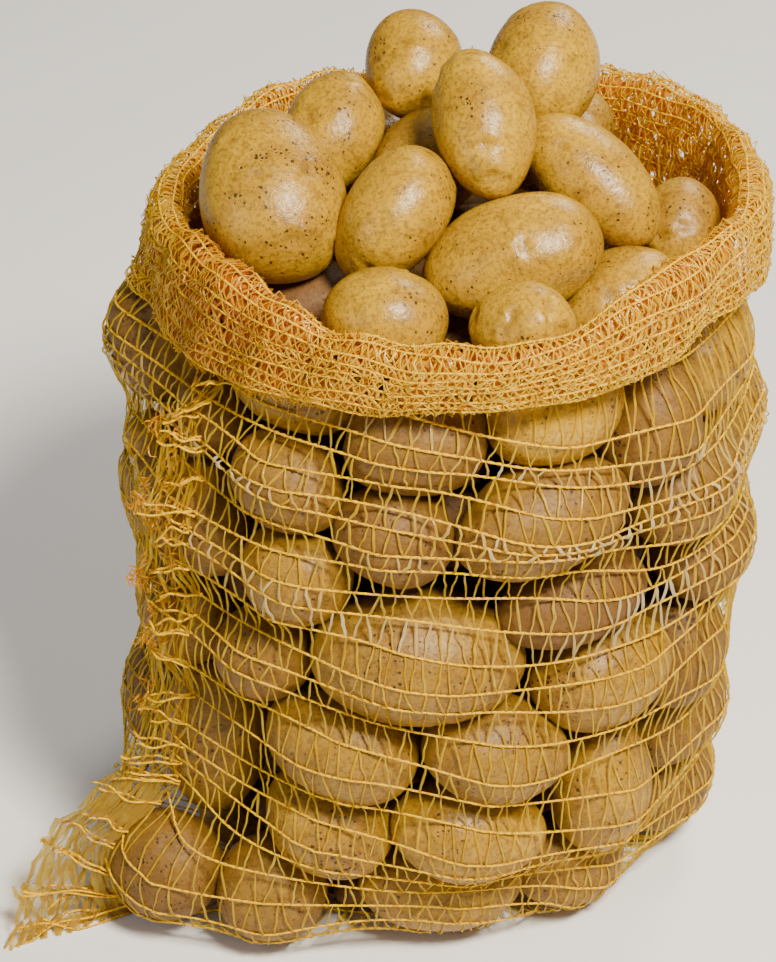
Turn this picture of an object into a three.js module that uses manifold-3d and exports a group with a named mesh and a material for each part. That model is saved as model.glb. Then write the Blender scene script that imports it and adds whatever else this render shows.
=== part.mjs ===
// Net sack of potatoes. A knitted yellow net sack stands on the floor, filled and heaped with potatoes.
// Its mouth is turned out and down into a soft cuff, and its sewn side seam ends in a flat corner ear.
// Millimetres, +Z up, the floor at z = 0 under the middle of the sack, the front of the sack towards -Y.
// Azimuths run in degrees from the front, positive towards +X.
import * as THREE from "three";
import { mergeVertices } from "three/addons/utils/BufferGeometryUtils.js";
import Module from "manifold-3d";

// The net: a sheet with a chain-stitched cord raised on every second row of its points.
const NET_THICKNESS = 1.8;
const CORD_RIDGE = 0.9;
const CORD_PITCH = 13.5;
const NET_COLUMNS = 46;
const NET_CLEARANCE = 2.3;
const FLOOR_RADIUS = 126;
const FAN_HEIGHT = 110;
const NECK_HEIGHT = 366;
const CUFF_CLEARANCE = 3.5;

// How the net settles on the potatoes: passes, and the share of the pull that runs along the cords.
const DRAPE_PASSES = 120;
const CORD_PULL = 0.78;

// The potatoes: gaps where they touch, how they settle, and the swell that lets a faceted one reach its size.
const CONTACT_GAP = 0.3;
const CONTACT_SINK = 1.6;
const FLOOR_GAP = 1.8;
const SETTLE_PASSES = 80;
const SEPARATION_STEPS = 10;
const NEAR_SHARE = 1.4;
const HOME_PULL = 0.04;
const HEAP_DETAIL = 2;
const WALL_DETAIL = 1;
const FACET_SWELL = { [HEAP_DETAIL]: 1.02, [WALL_DETAIL]: 1.05 };
const WALL_DEPTH_SHARE = 0.94;
const BACK_LENGTH = 74;
const BACK_OVERLAP = 9;

// A table whose rows carry the values of the named columns.
function table(columns, rows) {
  const names = columns.split(" ");
  return rows.map((row) => Object.fromEntries(names.map((name, i) => [name, row[i]])));
}

// The filled outline: the sack's radius and the sideways lean of its middle at each height.
const OUTLINE = table("height radius lean", [
  [0, 128, 0],
  [20, 152, 0],
  [60, 168, 0],
  [150, 173, 2],
  [250, 176, 5],
  [300, 168, 8],
  [320, 161, 10],
  [345, 148, 13],
  [386, 139, 17],
]);

// The potatoes of the heap: the place of the middle, three diameters, the heading and rise of the long axis,
// the roll about it, how much fuller the far end is, and how far the middle is bowed.
const HEAP = table("x y z length width depth yaw rise roll taper bow", [
  [-10, 62, 420, 62, 50, 48, 80, 25, 0, 0.05, 0],
  [58, 40, 436, 72, 57, 54, 75, 30, 0, -0.06, 0],
  [28, -14, 432, 78, 52, 48, 100, 40, 0, 0.06, 0],
  [-74, -28, 400, 92, 72, 64, 110, 38, 0, -0.14, 0],
  [-46, 34, 404, 66, 51, 48, 60, 35, 0, 0.05, 0],
  [-4, 26, 396, 68, 54, 50, 50, 20, 0, 0, 0],
  [-19, -50, 398, 76, 52, 48, 40, 42, 0, 0.08, 0],
  [41, -60, 384, 92, 64, 58, 8, 18, 0, 0.08, 0],
  [80, -14, 400, 86, 50, 46, -32, -30, 0, 0.05, 4],
  [122, -10, 374, 54, 43, 42, 80, 35, 0, 0, 0],
  [-24, -97, 374, 62, 56, 52, -20, 5, 0, 0.05, 0],
  [45, -112, 370, 52, 46, 44, -15, 10, 0, 0, 0],
  [90, -54, 362, 68, 50, 46, 30, 20, 0, 0, 0],
  [-60, -42, 344, 66, 50, 48, 20, 0, 0, 0, 0],
  [72, 66, 386, 54, 46, 44, 60, 10, 0, 0, 0],
  [-84, 50, 347, 72, 53, 51, 120, 0, 0, 0, 0],
  [-30, 92, 362, 72, 54, 50, 10, 5, 0, 0, 0],
  [38, 96, 366, 72, 56, 52, -15, 0, 0, 0, 0],
]);

// The potatoes that show in the gaps under the heap: place, three diameters and heading. They lie pressed
// together.
const UNDER = table("x y z length width depth yaw", [
  [25, 8, 344, 84, 60, 54, 20],
  [-30, 12, 340, 78, 58, 52, 100],
  [80, 20, 342, 80, 58, 52, 70],
  [22, -46, 330, 82, 56, 50, 10],
  [34, 56, 332, 80, 56, 50, -10],
]);

// The potatoes that lie against the front and the sides of the net: the azimuth and height of the middle,
// length, width, how far the long axis is tilted up to the right, and how far it stands out of the outline.
const WALL = table("azimuth height length width tilt out", [
  [-90, 308, 82, 64, 60, 12],
  [-40, 328, 76, 54, -10, 0],
  [-2, 316, 70, 57, 10, 0],
  [18, 316, 72, 56, 5, 0],
  [42, 302, 64, 54, 60, 0],
  [78, 312, 74, 56, 40, -2],
  [-32, 296, 60, 50, -10, 0],
  [-11, 282, 60, 50, -15, -4],
  [25, 276, 90, 58, 12, 0],
  [58, 262, 74, 54, 15, 0],
  [84, 262, 74, 58, 70, 0],
  [-56, 244, 68, 58, 10, 0],
  [-29, 248, 58, 52, 0, 0],
  [-88, 216, 76, 58, 80, -6],
  [25, 232, 82, 48, 5, -8],
  [72, 208, 80, 56, 5, 2],
  [-60, 178, 58, 50, 70, 0],
  [-35, 188, 54, 50, 60, 0],
  [-2, 202, 108, 74, -4, 0],
  [34, 180, 78, 60, 5, 0],
  [64, 160, 66, 54, 70, 2],
  [-54, 107, 97, 57, 84, 0],
  [-19, 142, 80, 58, -14, 0],
  [14, 140, 74, 57, -8, 0],
  [40, 94, 80, 54, 84, 0],
  [-88, 76, 86, 62, 75, 2],
  [70, 100, 70, 60, 40, 0],
  [-24, 78, 70, 58, -18, 0],
  [8, 86, 82, 57, -14, 0],
  [-51, 36, 70, 60, 30, 50],
  [-35, 36, 62, 58, 60, 22],
  [4, 36, 84, 52, 0, -10],
  [38, 33, 64, 54, -5, -6],
  [77, 44, 72, 60, 30, 4],
]);

// The courses of potatoes round the back: height of the middle, width, and the azimuths between which
// they lie.
const BACK = table("height width from to", [
  [36, 60, 112, 244],
  [92, 62, 104, 244],
  [149, 62, 100, 240],
  [205, 60, 106, 244],
  [260, 60, 118, 240],
  [312, 56, 112, 244],
]);

// How the potatoes of those courses differ from one to the next.
const BACK_VARIETY = table("lift tilt share", [
  [4, 14, 1],
  [-3, -10, 0.92],
  [2, 6, 1.04],
  [-5, -16, 0.96],
  [0, 10, 0.9],
]);

// The rim of the mouth and the cuff turned out over it: the heights of its crest and of its hem at each
// azimuth.
const RIM = table("azimuth crest hem", [
  [-180, 390, 350],
  [-120, 386, 350],
  [-90, 384, 356],
  [-60, 398, 342],
  [-40, 396, 347],
  [-20, 388, 355],
  [0, 384, 357],
  [20, 387, 365],
  [40, 398, 372],
  [60, 408, 384],
  [90, 402, 372],
  [130, 392, 355],
  [180, 390, 350],
]);

// The waves of the neck under the rim: how many go round, the turn of the first, and how far they reach.
const NECK_WAVES = table("count turn reach", [
  [3, 40, 2],
  [7, 0, 1.2],
]);

// The cuff's section over the rim: outward run and height, measured from the neck and from the crest.
const CUFF = table("out up", [
  [1, -9],
  [5, -1],
  [10, -2],
  [14, -9],
]);
const CUFF_INNER_ROWS = 2;
const CUFF_HEM_OUT = 16;
const CUFF_HEM_ROWS = 2;

// The seam's flap from the cuff to the floor: where it leaves the net, its width, and how far its edge
// sways to the left. The ear is its wide foot.
const SEAM_THICKNESS = 2.6;
const SEAM = table("height azimuth width sway", [
  [0, -57, 68, 24],
  [25, -57, 52, 15],
  [48, -57, 40, 8],
  [65, -56, 32, 3],
  [80, -56, 28, 0],
  [112, -54, 22, 2],
  [150, -53, 21, -3],
  [185, -53, 21, 3],
  [220, -53, 20, -2],
  [270, -52, 18, 3],
  [325, -52, 12, 0],
]);
const SEAM_FOOT = 3;
const SEAM_SINK = 0.4;
const SEAM_MERGE = 0.02;

const NET_COLOUR = 0xe6ad2c;
const NET_ROUGHNESS = 0.6;
const POTATO_COLOUR = 0xc59a4e;
const POTATO_ROUGHNESS = 0.5;
const UP = new THREE.Vector3(0, 0, 1);

const wasm = await Module();
wasm.setup();

const radians = THREE.MathUtils.degToRad;

// The value of a table's column at a place between its rows, on straight lines from row to row.
function between(rows, key, at, column) {
  const last = rows.length - 1;
  if (at <= rows[0][key]) return rows[0][column];
  if (at >= rows[last][key]) return rows[last][column];
  const next = rows.findIndex((row) => row[key] > at);
  const [low, high] = [rows[next - 1], rows[next]];
  const share = (at - low[key]) / (high[key] - low[key]);
  return THREE.MathUtils.lerp(low[column], high[column], share);
}

// The horizontal direction that an azimuth points to.
function heading(azimuth) {
  return new THREE.Vector3(Math.sin(radians(azimuth)), -Math.cos(radians(azimuth)), 0);
}

// The middle of the sack at a height.
function axisPoint(height) {
  return new THREE.Vector3(between(OUTLINE, "height", height, "lean"), 0, height);
}

// A potato as a bowed and tapered ellipsoid: its middle, the directions of its three diameters and half
// of each.
function potato(name, detail, centre, axes, diameters, taper = 0, bow = 0) {
  const half = diameters.map((d) => d / 2);
  return { name, detail, centre, home: centre.clone(), axes, half, taper, bow, onWall: false, course: null };
}

function heapPotato(row, index) {
  const turn = new THREE.Euler(radians(row.roll), radians(-row.rise), radians(row.yaw), "ZYX");
  const axes = [new THREE.Vector3(1, 0, 0), new THREE.Vector3(0, 1, 0), UP.clone()];
  axes.forEach((axis) => axis.applyEuler(turn));
  const centre = new THREE.Vector3(row.x, row.y, row.z);
  const diameters = [row.length, row.width, row.depth];
  return potato(`heap_potato_${index + 1}`, HEAP_DETAIL, centre, axes, diameters, row.taper, row.bow);
}

function underPotato(row, index) {
  const made = heapPotato({ ...row, rise: 0, roll: 0, taper: 0, bow: 0 }, index);
  return Object.assign(made, { name: "", detail: WALL_DETAIL, course: "under" });
}

function wallPotato(row, name, course = null) {
  const outward = heading(row.azimuth);
  const right = UP.clone().cross(outward);
  const long = right.clone().multiplyScalar(Math.cos(radians(row.tilt)));
  long.addScaledVector(UP, Math.sin(radians(row.tilt)));
  const axes = [long, outward.clone().cross(long), outward];
  const depth = row.width * WALL_DEPTH_SHARE;
  const reach = between(OUTLINE, "height", row.height, "radius") + row.out - depth / 2;
  const centre = axisPoint(row.height).addScaledVector(outward, reach);
  const made = potato(name, WALL_DETAIL, centre, axes, [row.length, row.width, depth]);
  return Object.assign(made, { onWall: true, out: row.out, course });
}

// A course round the back is a run of potatoes end to end, each reaching a little into the next.
function backCourse(course, index) {
  const radius = between(OUTLINE, "height", course.height, "radius") - course.width / 2;
  const span = radians(course.to - course.from) * radius;
  const steps = Math.round(span / BACK_LENGTH);
  return Array.from({ length: steps + 1 }, (_, i) => {
    const { lift, tilt, share } = BACK_VARIETY[(i + 2 * index) % BACK_VARIETY.length];
    const azimuth = THREE.MathUtils.lerp(course.from, course.to, i / steps);
    const length = (span / steps + BACK_OVERLAP) / Math.cos(radians(tilt));
    const width = course.width * share;
    return wallPotato({ azimuth, height: course.height + lift, length, width, tilt, out: 0 }, "", index);
  });
}

// How far a potato reaches from its middle along a direction.
function support(p, direction) {
  return Math.hypot(...p.axes.map((axis, k) => p.half[k] * axis.dot(direction)));
}

// The point of a potato that lies farthest along a direction, seen from its middle.
function farthest(p, direction, reach) {
  const point = new THREE.Vector3();
  p.axes.forEach((axis, k) => point.addScaledVector(axis, (p.half[k] ** 2 * axis.dot(direction)) / reach));
  return point;
}

// The direction in which two potatoes lie farthest apart, and the gap between them along it.
function separation(a, b) {
  const apart = b.centre.clone().sub(a.centre);
  const distance = apart.length();
  const normal = apart.clone().normalize();
  for (let step = 0; step < SEPARATION_STEPS; step++) {
    const slope = apart.clone();
    slope.sub(farthest(a, normal, support(a, normal)));
    slope.sub(farthest(b, normal, support(b, normal)));
    slope.addScaledVector(normal, -slope.dot(normal));
    normal.addScaledVector(slope, 1 / distance).normalize();
  }
  const gap = normal.dot(apart) - support(a, normal) - support(b, normal);
  return { normal, gap };
}

// Pairs that can meet: potatoes of one course round the back are one body and don't count.
function nearPairs(potatoes) {
  const pairs = [];
  potatoes.forEach((a, i) =>
    potatoes.slice(i + 1).forEach((b) => {
      const joined = a.course !== null && a.course === b.course;
      const reach = a.half[0] + b.half[0];
      if (!joined && a.centre.distanceTo(b.centre) < reach * NEAR_SHARE) pairs.push([a, b]);
    }),
  );
  return pairs;
}

// A wall potato lies against the outline and no lower than the sheet on the floor.
function seatOnWall(p) {
  const axis = axisPoint(p.centre.z);
  const outward = p.centre.clone().sub(axis).normalize();
  const outline = between(OUTLINE, "height", p.centre.z, "radius") + p.out;
  const reach = outline - NET_THICKNESS - NET_CLEARANCE - support(p, outward);
  p.centre.copy(axis).addScaledVector(outward, reach);
  p.centre.z = Math.max(p.centre.z, support(p, UP) + NET_THICKNESS + FLOOR_GAP);
}

// Potatoes that press into each other are moved apart until they only touch, close to where they were laid.
function settle(potatoes) {
  const pairs = nearPairs(potatoes);
  for (let pass = 0; pass < SETTLE_PASSES; pass++) {
    pairs.forEach(([a, b]) => {
      const { normal, gap } = separation(a, b);
      if (gap > -CONTACT_SINK) return;
      const push = (-gap - CONTACT_SINK) / 2;
      a.centre.addScaledVector(normal, -push);
      b.centre.addScaledVector(normal, push);
    });
    potatoes.forEach((p) => p.centre.lerp(p.home, HOME_PULL));
    potatoes.filter((p) => p.onWall).forEach(seatOnWall);
  }
}

// A potato's faces at its place, with each point as a vector.
function potatoPoints(p) {
  const ball = new THREE.IcosahedronGeometry(FACET_SWELL[p.detail], p.detail);
  ball.deleteAttribute("normal");
  ball.deleteAttribute("uv");
  const { index, attributes } = mergeVertices(ball);
  const points = [];
  for (let i = 0; i < attributes.position.count; i++) {
    const unit = new THREE.Vector3().fromBufferAttribute(attributes.position, i);
    const fullness = 1 + p.taper * unit.x;
    const point = p.centre.clone();
    point.addScaledVector(p.axes[0], unit.x * p.half[0]);
    point.addScaledVector(p.axes[1], unit.y * p.half[1] * fullness + p.bow * (0.5 - unit.x ** 2));
    point.addScaledVector(p.axes[2], unit.z * p.half[2] * fullness);
    points.push(point);
  }
  return { points, faces: Array.from(index.array) };
}

// Two potatoes that press together are flattened on both sides of the plane between them.
function flattenContacts(potatoes, shapes) {
  nearPairs(potatoes).forEach(([a, b]) => {
    const { normal, gap } = separation(a, b);
    const low = normal.dot(a.centre) + support(a, normal);
    const plane = low + gap / 2;
    const margin = CONTACT_GAP / 2;
    if (gap > a.half[0]) return;
    shapes.get(a).points.forEach((point) => {
      const over = normal.dot(point) - (plane - margin);
      if (over > 0) point.addScaledVector(normal, -over);
    });
    shapes.get(b).points.forEach((point) => {
      const over = plane + margin - normal.dot(point);
      if (over > 0) point.addScaledVector(normal, over);
    });
  });
  const floor = NET_THICKNESS + FLOOR_GAP;
  shapes.forEach(({ points }) => points.forEach((point) => (point.z = Math.max(point.z, floor))));
}

function geometryOf(points, faces) {
  const geometry = new THREE.BufferGeometry();
  const numbers = points.flatMap((point) => point.toArray());
  geometry.setAttribute("position", new THREE.Float32BufferAttribute(numbers, 3));
  geometry.setIndex(faces);
  return geometry;
}

function solidOf(geometry) {
  const vertProperties = new Float32Array(geometry.attributes.position.array);
  const triVerts = new Uint32Array(geometry.index.array);
  return new wasm.Manifold(new wasm.Mesh({ numProp: 3, vertProperties, triVerts }));
}

function geometryOfSolid(solid) {
  const mesh = solid.getMesh();
  const geometry = new THREE.BufferGeometry();
  geometry.setAttribute("position", new THREE.BufferAttribute(mesh.vertProperties, 3));
  geometry.setIndex(new THREE.BufferAttribute(mesh.triVerts, 1));
  return geometry;
}

function meshOf(name, geometry, color, roughness) {
  geometry.computeVertexNormals();
  const material = new THREE.MeshStandardMaterial({ color, roughness, metalness: 0 });
  const mesh = new THREE.Mesh(geometry, material);
  mesh.name = name;
  return mesh;
}

// The rows of rays on which the net lies: a fan from one point for the rounded bottom, then level rays.
function netRows() {
  const rows = [];
  const start = Math.atan2(FAN_HEIGHT, FLOOR_RADIUS);
  const fanSteps = Math.round((start * between(OUTLINE, "height", FAN_HEIGHT, "radius")) / CORD_PITCH);
  for (let i = 0; i < fanSteps; i++) {
    rows.push({ height: FAN_HEIGHT, drop: start * (1 - i / fanSteps) });
  }
  const wallSteps = Math.round((NECK_HEIGHT - FAN_HEIGHT) / CORD_PITCH);
  for (let i = 0; i <= wallSteps; i++) {
    rows.push({ height: THREE.MathUtils.lerp(FAN_HEIGHT, NECK_HEIGHT, i / wallSteps), drop: 0 });
  }
  return rows;
}

const columnAzimuth = (column) => (360 * column) / NET_COLUMNS - 180;

// The direction of a row's ray at an azimuth, sloping down by the row's drop.
function rayDirection(row, azimuth) {
  const direction = heading(azimuth).multiplyScalar(Math.cos(row.drop));
  return direction.addScaledVector(UP, -Math.sin(row.drop));
}

// How far out the potatoes reach round a point of the net: the farthest of nine rays about its own.
function reachOfPotatoes(meshes, rows, rowIndex, azimuth) {
  const caster = new THREE.Raycaster();
  const far = 2 * FLOOR_RADIUS;
  const spread = 180 / NET_COLUMNS;
  let reach = 0;
  for (const side of [-1, 0, 1]) {
    const beside = rows[THREE.MathUtils.clamp(rowIndex + side, 0, rows.length - 1)];
    const row = {
      height: THREE.MathUtils.lerp(rows[rowIndex].height, beside.height, 0.5),
      drop: THREE.MathUtils.lerp(rows[rowIndex].drop, beside.drop, 0.5),
    };
    for (const turn of [-spread, 0, spread]) {
      const direction = rayDirection(row, azimuth + turn);
      const start = axisPoint(row.height).addScaledVector(direction, far);
      caster.set(start, direction.negate());
      const hit = caster.intersectObjects(meshes)[0];
      if (hit) reach = Math.max(reach, far - hit.distance);
    }
  }
  return reach;
}

// A ray's length to the straight line between the ends of its two neighbours.
function straightBetween(before, after, angle) {
  return (2 * before * after * Math.cos(angle)) / (before + after);
}

// The net's lengths along its rays: taut along the cords, slacker up and down, and nowhere inside the
// potatoes.
function drape(rows, reaches) {
  const sheet = NET_CLEARANCE + NET_THICKNESS / 2;
  const lengths = rows.map((row, i) =>
    reaches[i].map(() => between(OUTLINE, "height", row.height, "radius") / Math.cos(row.drop)),
  );
  const last = rows.length - 1;
  const step = (2 * Math.PI) / NET_COLUMNS;
  const limit = (row) => (row.drop > 0 ? (FAN_HEIGHT - NET_THICKNESS / 2) / Math.sin(row.drop) : Infinity);
  for (let pass = 0; pass < DRAPE_PASSES; pass++) {
    for (let i = 0; i <= last; i++) {
      for (let j = 0; j < NET_COLUMNS; j++) {
        const before = lengths[i][(j + NET_COLUMNS - 1) % NET_COLUMNS];
        const after = lengths[i][(j + 1) % NET_COLUMNS];
        const angle = step * Math.cos(rows[i].drop);
        const level = straightBetween(before, after, angle);
        const below = lengths[Math.max(i - 1, 0)][j];
        const above = lengths[Math.min(i + 1, last)][j];
        const tilt = i > 0 && i < last ? (rows[i - 1].drop - rows[i + 1].drop) / 2 : 0;
        const upright = straightBetween(below, above, tilt);
        const pulled = CORD_PULL * level + (1 - CORD_PULL) * upright;
        lengths[i][j] = Math.min(Math.max(pulled, reaches[i][j] + sheet), limit(rows[i]));
      }
    }
    lengths[0].fill(Math.hypot(FAN_HEIGHT, FLOOR_RADIUS) - NET_THICKNESS);
    lengths[last] = reaches[last].map((reach, j) => Math.max(neckRadius(columnAzimuth(j)), reach + sheet));
  }
  return lengths;
}

// The neck under the rim is a slightly wavy ring.
function neckRadius(azimuth) {
  const ring = OUTLINE[OUTLINE.length - 1].radius;
  return NECK_WAVES.reduce((sum, w) => sum + w.reach * Math.sin(radians(w.count * azimuth + w.turn)), ring);
}

// The cuff's points over one column: out over the crest and down to the hem, clear of the wall behind it.
function cuffColumn(azimuth, neck, wallRadius) {
  const crest = between(RIM, "azimuth", azimuth, "crest");
  const hem = between(RIM, "azimuth", azimuth, "hem");
  const turn = CUFF[CUFF.length - 1];
  const section = CUFF.map(({ out, up }) => ({ out, height: crest + up }));
  for (let i = 1; i <= CUFF_HEM_ROWS; i++) {
    const share = i / CUFF_HEM_ROWS;
    const out = THREE.MathUtils.lerp(turn.out, CUFF_HEM_OUT, share);
    section.push({ out, height: THREE.MathUtils.lerp(crest + turn.up, hem, share) });
  }
  return section.map(({ out, height }, i) => {
    const clear = i < CUFF_INNER_ROWS ? 0 : wallRadius(height) + CUFF_CLEARANCE;
    const radius = Math.max(neck + out, clear);
    return axisPoint(height).addScaledVector(heading(azimuth), radius);
  });
}

// The middle surface of the whole net, row by row from the floor to the cuff's hem.
function netSurface(meshes) {
  const rows = netRows();
  const columns = Array.from({ length: NET_COLUMNS }, (_, j) => columnAzimuth(j));
  const reaches = rows.map((_, i) => columns.map((azimuth) => reachOfPotatoes(meshes, rows, i, azimuth)));
  const lengths = drape(rows, reaches);
  const wall = rows.map((row, i) =>
    columns.map((azimuth, j) =>
      axisPoint(row.height).addScaledVector(rayDirection(row, azimuth), lengths[i][j]),
    ),
  );
  const cuff = columns.map((azimuth, j) => {
    const profile = rows.map((row, i) => ({ height: wall[i][j].z, radius: lengths[i][j] }));
    const neck = lengths[rows.length - 1][j];
    return cuffColumn(azimuth, neck, (height) => between(profile, "height", height, "radius"));
  });
  const cuffRows = cuff[0].map((_, i) => cuff.map((column) => column[i]));
  return [...wall, ...cuffRows];
}

// The net's solid: two skins half a thickness each side of the middle surface, closed at the hem and the
// floor.
function netGeometry(surface) {
  const rowCount = surface.length;
  const at = (i, j) => surface[i][(j + NET_COLUMNS) % NET_COLUMNS];
  const points = [];
  const faces = [];
  const skin = (side) => {
    const first = points.length;
    surface.forEach((row, i) =>
      row.forEach((point, j) => {
        const along = at(i, j + 1).clone().sub(at(i, j - 1));
        const up = at(Math.min(i + 1, rowCount - 1), j).clone().sub(at(Math.max(i - 1, 0), j));
        const normal = along.cross(up).normalize();
        const ridge = side > 0 && i % 2 && i < rowCount - 1 ? CORD_RIDGE : 0;
        const moved = point.clone().addScaledVector(normal, side * (NET_THICKNESS / 2) + ridge);
        const floor = side > 0 ? 0 : NET_THICKNESS;
        moved.z = i === 0 ? floor : Math.max(moved.z, floor);
        points.push(moved);
      }),
    );
    const pole = points.length;
    points.push(new THREE.Vector3(0, 0, side > 0 ? 0 : NET_THICKNESS));
    const vertex = (i, j) => first + i * NET_COLUMNS + (j % NET_COLUMNS);
    return { vertex, pole };
  };
  const outer = skin(1);
  const inner = skin(-1);
  const quad = (a, b, c, d) => faces.push(a, b, c, a, c, d);
  for (let j = 0; j < NET_COLUMNS; j++) {
    for (let i = 0; i < rowCount - 1; i++) {
      quad(outer.vertex(i, j), outer.vertex(i, j + 1), outer.vertex(i + 1, j + 1), outer.vertex(i + 1, j));
      quad(inner.vertex(i, j + 1), inner.vertex(i, j), inner.vertex(i + 1, j), inner.vertex(i + 1, j + 1));
    }
    const hem = rowCount - 1;
    quad(outer.vertex(hem, j), outer.vertex(hem, j + 1), inner.vertex(hem, j + 1), inner.vertex(hem, j));
    faces.push(outer.pole, outer.vertex(0, j + 1), outer.vertex(0, j));
    faces.push(inner.pole, inner.vertex(0, j), inner.vertex(0, j + 1));
  }
  return geometryOf(points, faces);
}

// A point of the net's middle surface between two columns of a row.
function onRow(row, azimuth) {
  const place = ((azimuth + 180) * NET_COLUMNS) / 360;
  const column = Math.floor(place);
  return row[column].clone().lerp(row[(column + 1) % NET_COLUMNS], place - column);
}

// The seam's flap and the ear at its foot: a thin fin from the net's middle surface out to the flap's edge.
function seamGeometry(surface) {
  const onSeam = surface.map((row) => {
    const rough = onRow(row, SEAM[0].azimuth).z;
    return onRow(row, between(SEAM, "height", rough, "azimuth"));
  });
  const top = onSeam.findIndex((point) => point.z > SEAM[SEAM.length - 1].height);
  const foot = onSeam.findIndex((point) => point.z > SEAM_FOOT) - 1;
  const roots = onSeam.slice(foot, top);
  const points = [];
  const faces = [];
  const shares = [0, 0.5, 1];
  const wide = shares.length;
  [1, -1].forEach((side) =>
    roots.forEach((root) =>
      shares.forEach((share) => {
        const outward = heading(between(SEAM, "height", root.z, "azimuth"));
        const left = outward.clone().cross(UP);
        const width = between(SEAM, "height", root.z, "width");
        const sway = between(SEAM, "height", root.z, "sway");
        const point = root.clone().addScaledVector(outward, THREE.MathUtils.lerp(-SEAM_SINK, width, share));
        point.addScaledVector(left, sway * share ** 2 + (side * SEAM_THICKNESS) / 2);
        if (root === roots[0]) point.z = 0;
        points.push(point);
      }),
    ),
  );
  const vertex = (side, i, k) => (side * roots.length + i) * wide + k;
  const quad = (a, b, c, d) => faces.push(a, b, c, a, c, d);
  const last = roots.length - 1;
  const edge = wide - 1;
  for (let i = 0; i < last; i++) {
    for (let k = 0; k < edge; k++) {
      quad(vertex(0, i, k + 1), vertex(0, i, k), vertex(0, i + 1, k), vertex(0, i + 1, k + 1));
      quad(vertex(1, i, k), vertex(1, i, k + 1), vertex(1, i + 1, k + 1), vertex(1, i + 1, k));
    }
    quad(vertex(0, i, 0), vertex(1, i, 0), vertex(1, i + 1, 0), vertex(0, i + 1, 0));
    quad(vertex(1, i, edge), vertex(0, i, edge), vertex(0, i + 1, edge), vertex(1, i + 1, edge));
  }
  for (let k = 0; k < edge; k++) {
    quad(vertex(0, 0, k), vertex(0, 0, k + 1), vertex(1, 0, k + 1), vertex(1, 0, k));
    quad(vertex(0, last, k + 1), vertex(0, last, k), vertex(1, last, k), vertex(1, last, k + 1));
  }
  return geometryOf(points, faces);
}

const heap = HEAP.map(heapPotato);
const front = WALL.map((row, i) => wallPotato(row, `wall_potato_${i + 1}`));
const back = BACK.map(backCourse);
const under = UNDER.map(underPotato);
const potatoes = [...heap, ...front, ...back.flat(), ...under];
settle(potatoes);
const shapes = new Map(potatoes.map((p) => [p, potatoPoints(p)]));
flattenContacts(potatoes, shapes);

const sack = new THREE.Group();
const potatoMesh = (name, geometry) => meshOf(name, geometry, POTATO_COLOUR, POTATO_ROUGHNESS);
const shapeOf = (p) => geometryOf(shapes.get(p).points, shapes.get(p).faces);
[...heap, ...front].forEach((p) => sack.add(potatoMesh(p.name, shapeOf(p))));
const joined = (group) => group.map((p) => solidOf(shapeOf(p))).reduce((a, b) => a.add(b));
back.forEach((course, i) => sack.add(potatoMesh(`back_potatoes_${i + 1}`, geometryOfSolid(joined(course)))));
sack.add(potatoMesh("under_potatoes", geometryOfSolid(joined(under))));
const surface = netSurface([...sack.children]);
const sewn = solidOf(netGeometry(surface)).add(solidOf(seamGeometry(surface)));
const net = sewn.decompose().reduce((a, b) => (a.volume() > b.volume() ? a : b)).simplify(SEAM_MERGE);
sack.add(meshOf("net_sack", geometryOfSolid(net), NET_COLOUR, NET_ROUGHNESS));

export default sack;
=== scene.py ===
import bpy
import numpy as np
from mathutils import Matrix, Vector


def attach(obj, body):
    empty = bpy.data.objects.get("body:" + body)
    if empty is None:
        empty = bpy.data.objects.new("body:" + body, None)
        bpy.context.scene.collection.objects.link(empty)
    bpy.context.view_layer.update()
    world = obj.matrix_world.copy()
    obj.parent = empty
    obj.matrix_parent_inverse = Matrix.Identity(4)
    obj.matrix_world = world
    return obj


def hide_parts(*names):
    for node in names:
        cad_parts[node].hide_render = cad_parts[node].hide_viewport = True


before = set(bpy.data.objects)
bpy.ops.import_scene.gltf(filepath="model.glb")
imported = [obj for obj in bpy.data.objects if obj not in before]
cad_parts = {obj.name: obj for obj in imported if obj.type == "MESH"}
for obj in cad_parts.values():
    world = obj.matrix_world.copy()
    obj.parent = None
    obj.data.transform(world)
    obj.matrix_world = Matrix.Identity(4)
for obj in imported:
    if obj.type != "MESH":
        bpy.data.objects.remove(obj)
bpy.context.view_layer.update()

# The heap: washed yellow potatoes that lie loose above the mouth, each a bowed and tapered egg with
# shallow eyes and small corky specks. Each skin follows its own solid over latitude and longitude.
MM = 0.001


def to_linear(hex_colour):
    """sRGB hex to linear RGBA: each channel over 12.92 below 0.04045, by the 2.4 power above it."""
    srgb = np.array([int(hex_colour[i : i + 2], 16) for i in (1, 3, 5)]) / 255
    linear = np.where(srgb <= 0.04045, srgb / 12.92, ((srgb + 0.055) / 1.055) ** 2.4)
    return (*linear.tolist(), 1.0)


def add_node(material, kind, inputs=(), **settings):
    """Adds one shader node and gives its outputs: settings are its properties, inputs the values of its
    sockets or the outputs that are linked to them."""
    tree = material.node_tree
    made = tree.nodes.new("ShaderNode" + kind)
    for key, value in settings.items():
        setattr(made, key, value)
    for key, value in dict(inputs).items():
        if isinstance(value, bpy.types.NodeSocket):
            tree.links.new(value, made.inputs[key])
        else:
            made.inputs[key].default_value = value
    return made.outputs


def new_material(name):
    """An empty material of that name, with its nodes cleared."""
    material = bpy.data.materials.new(name)
    material.use_nodes = True
    material.node_tree.nodes.clear()
    return material


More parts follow.
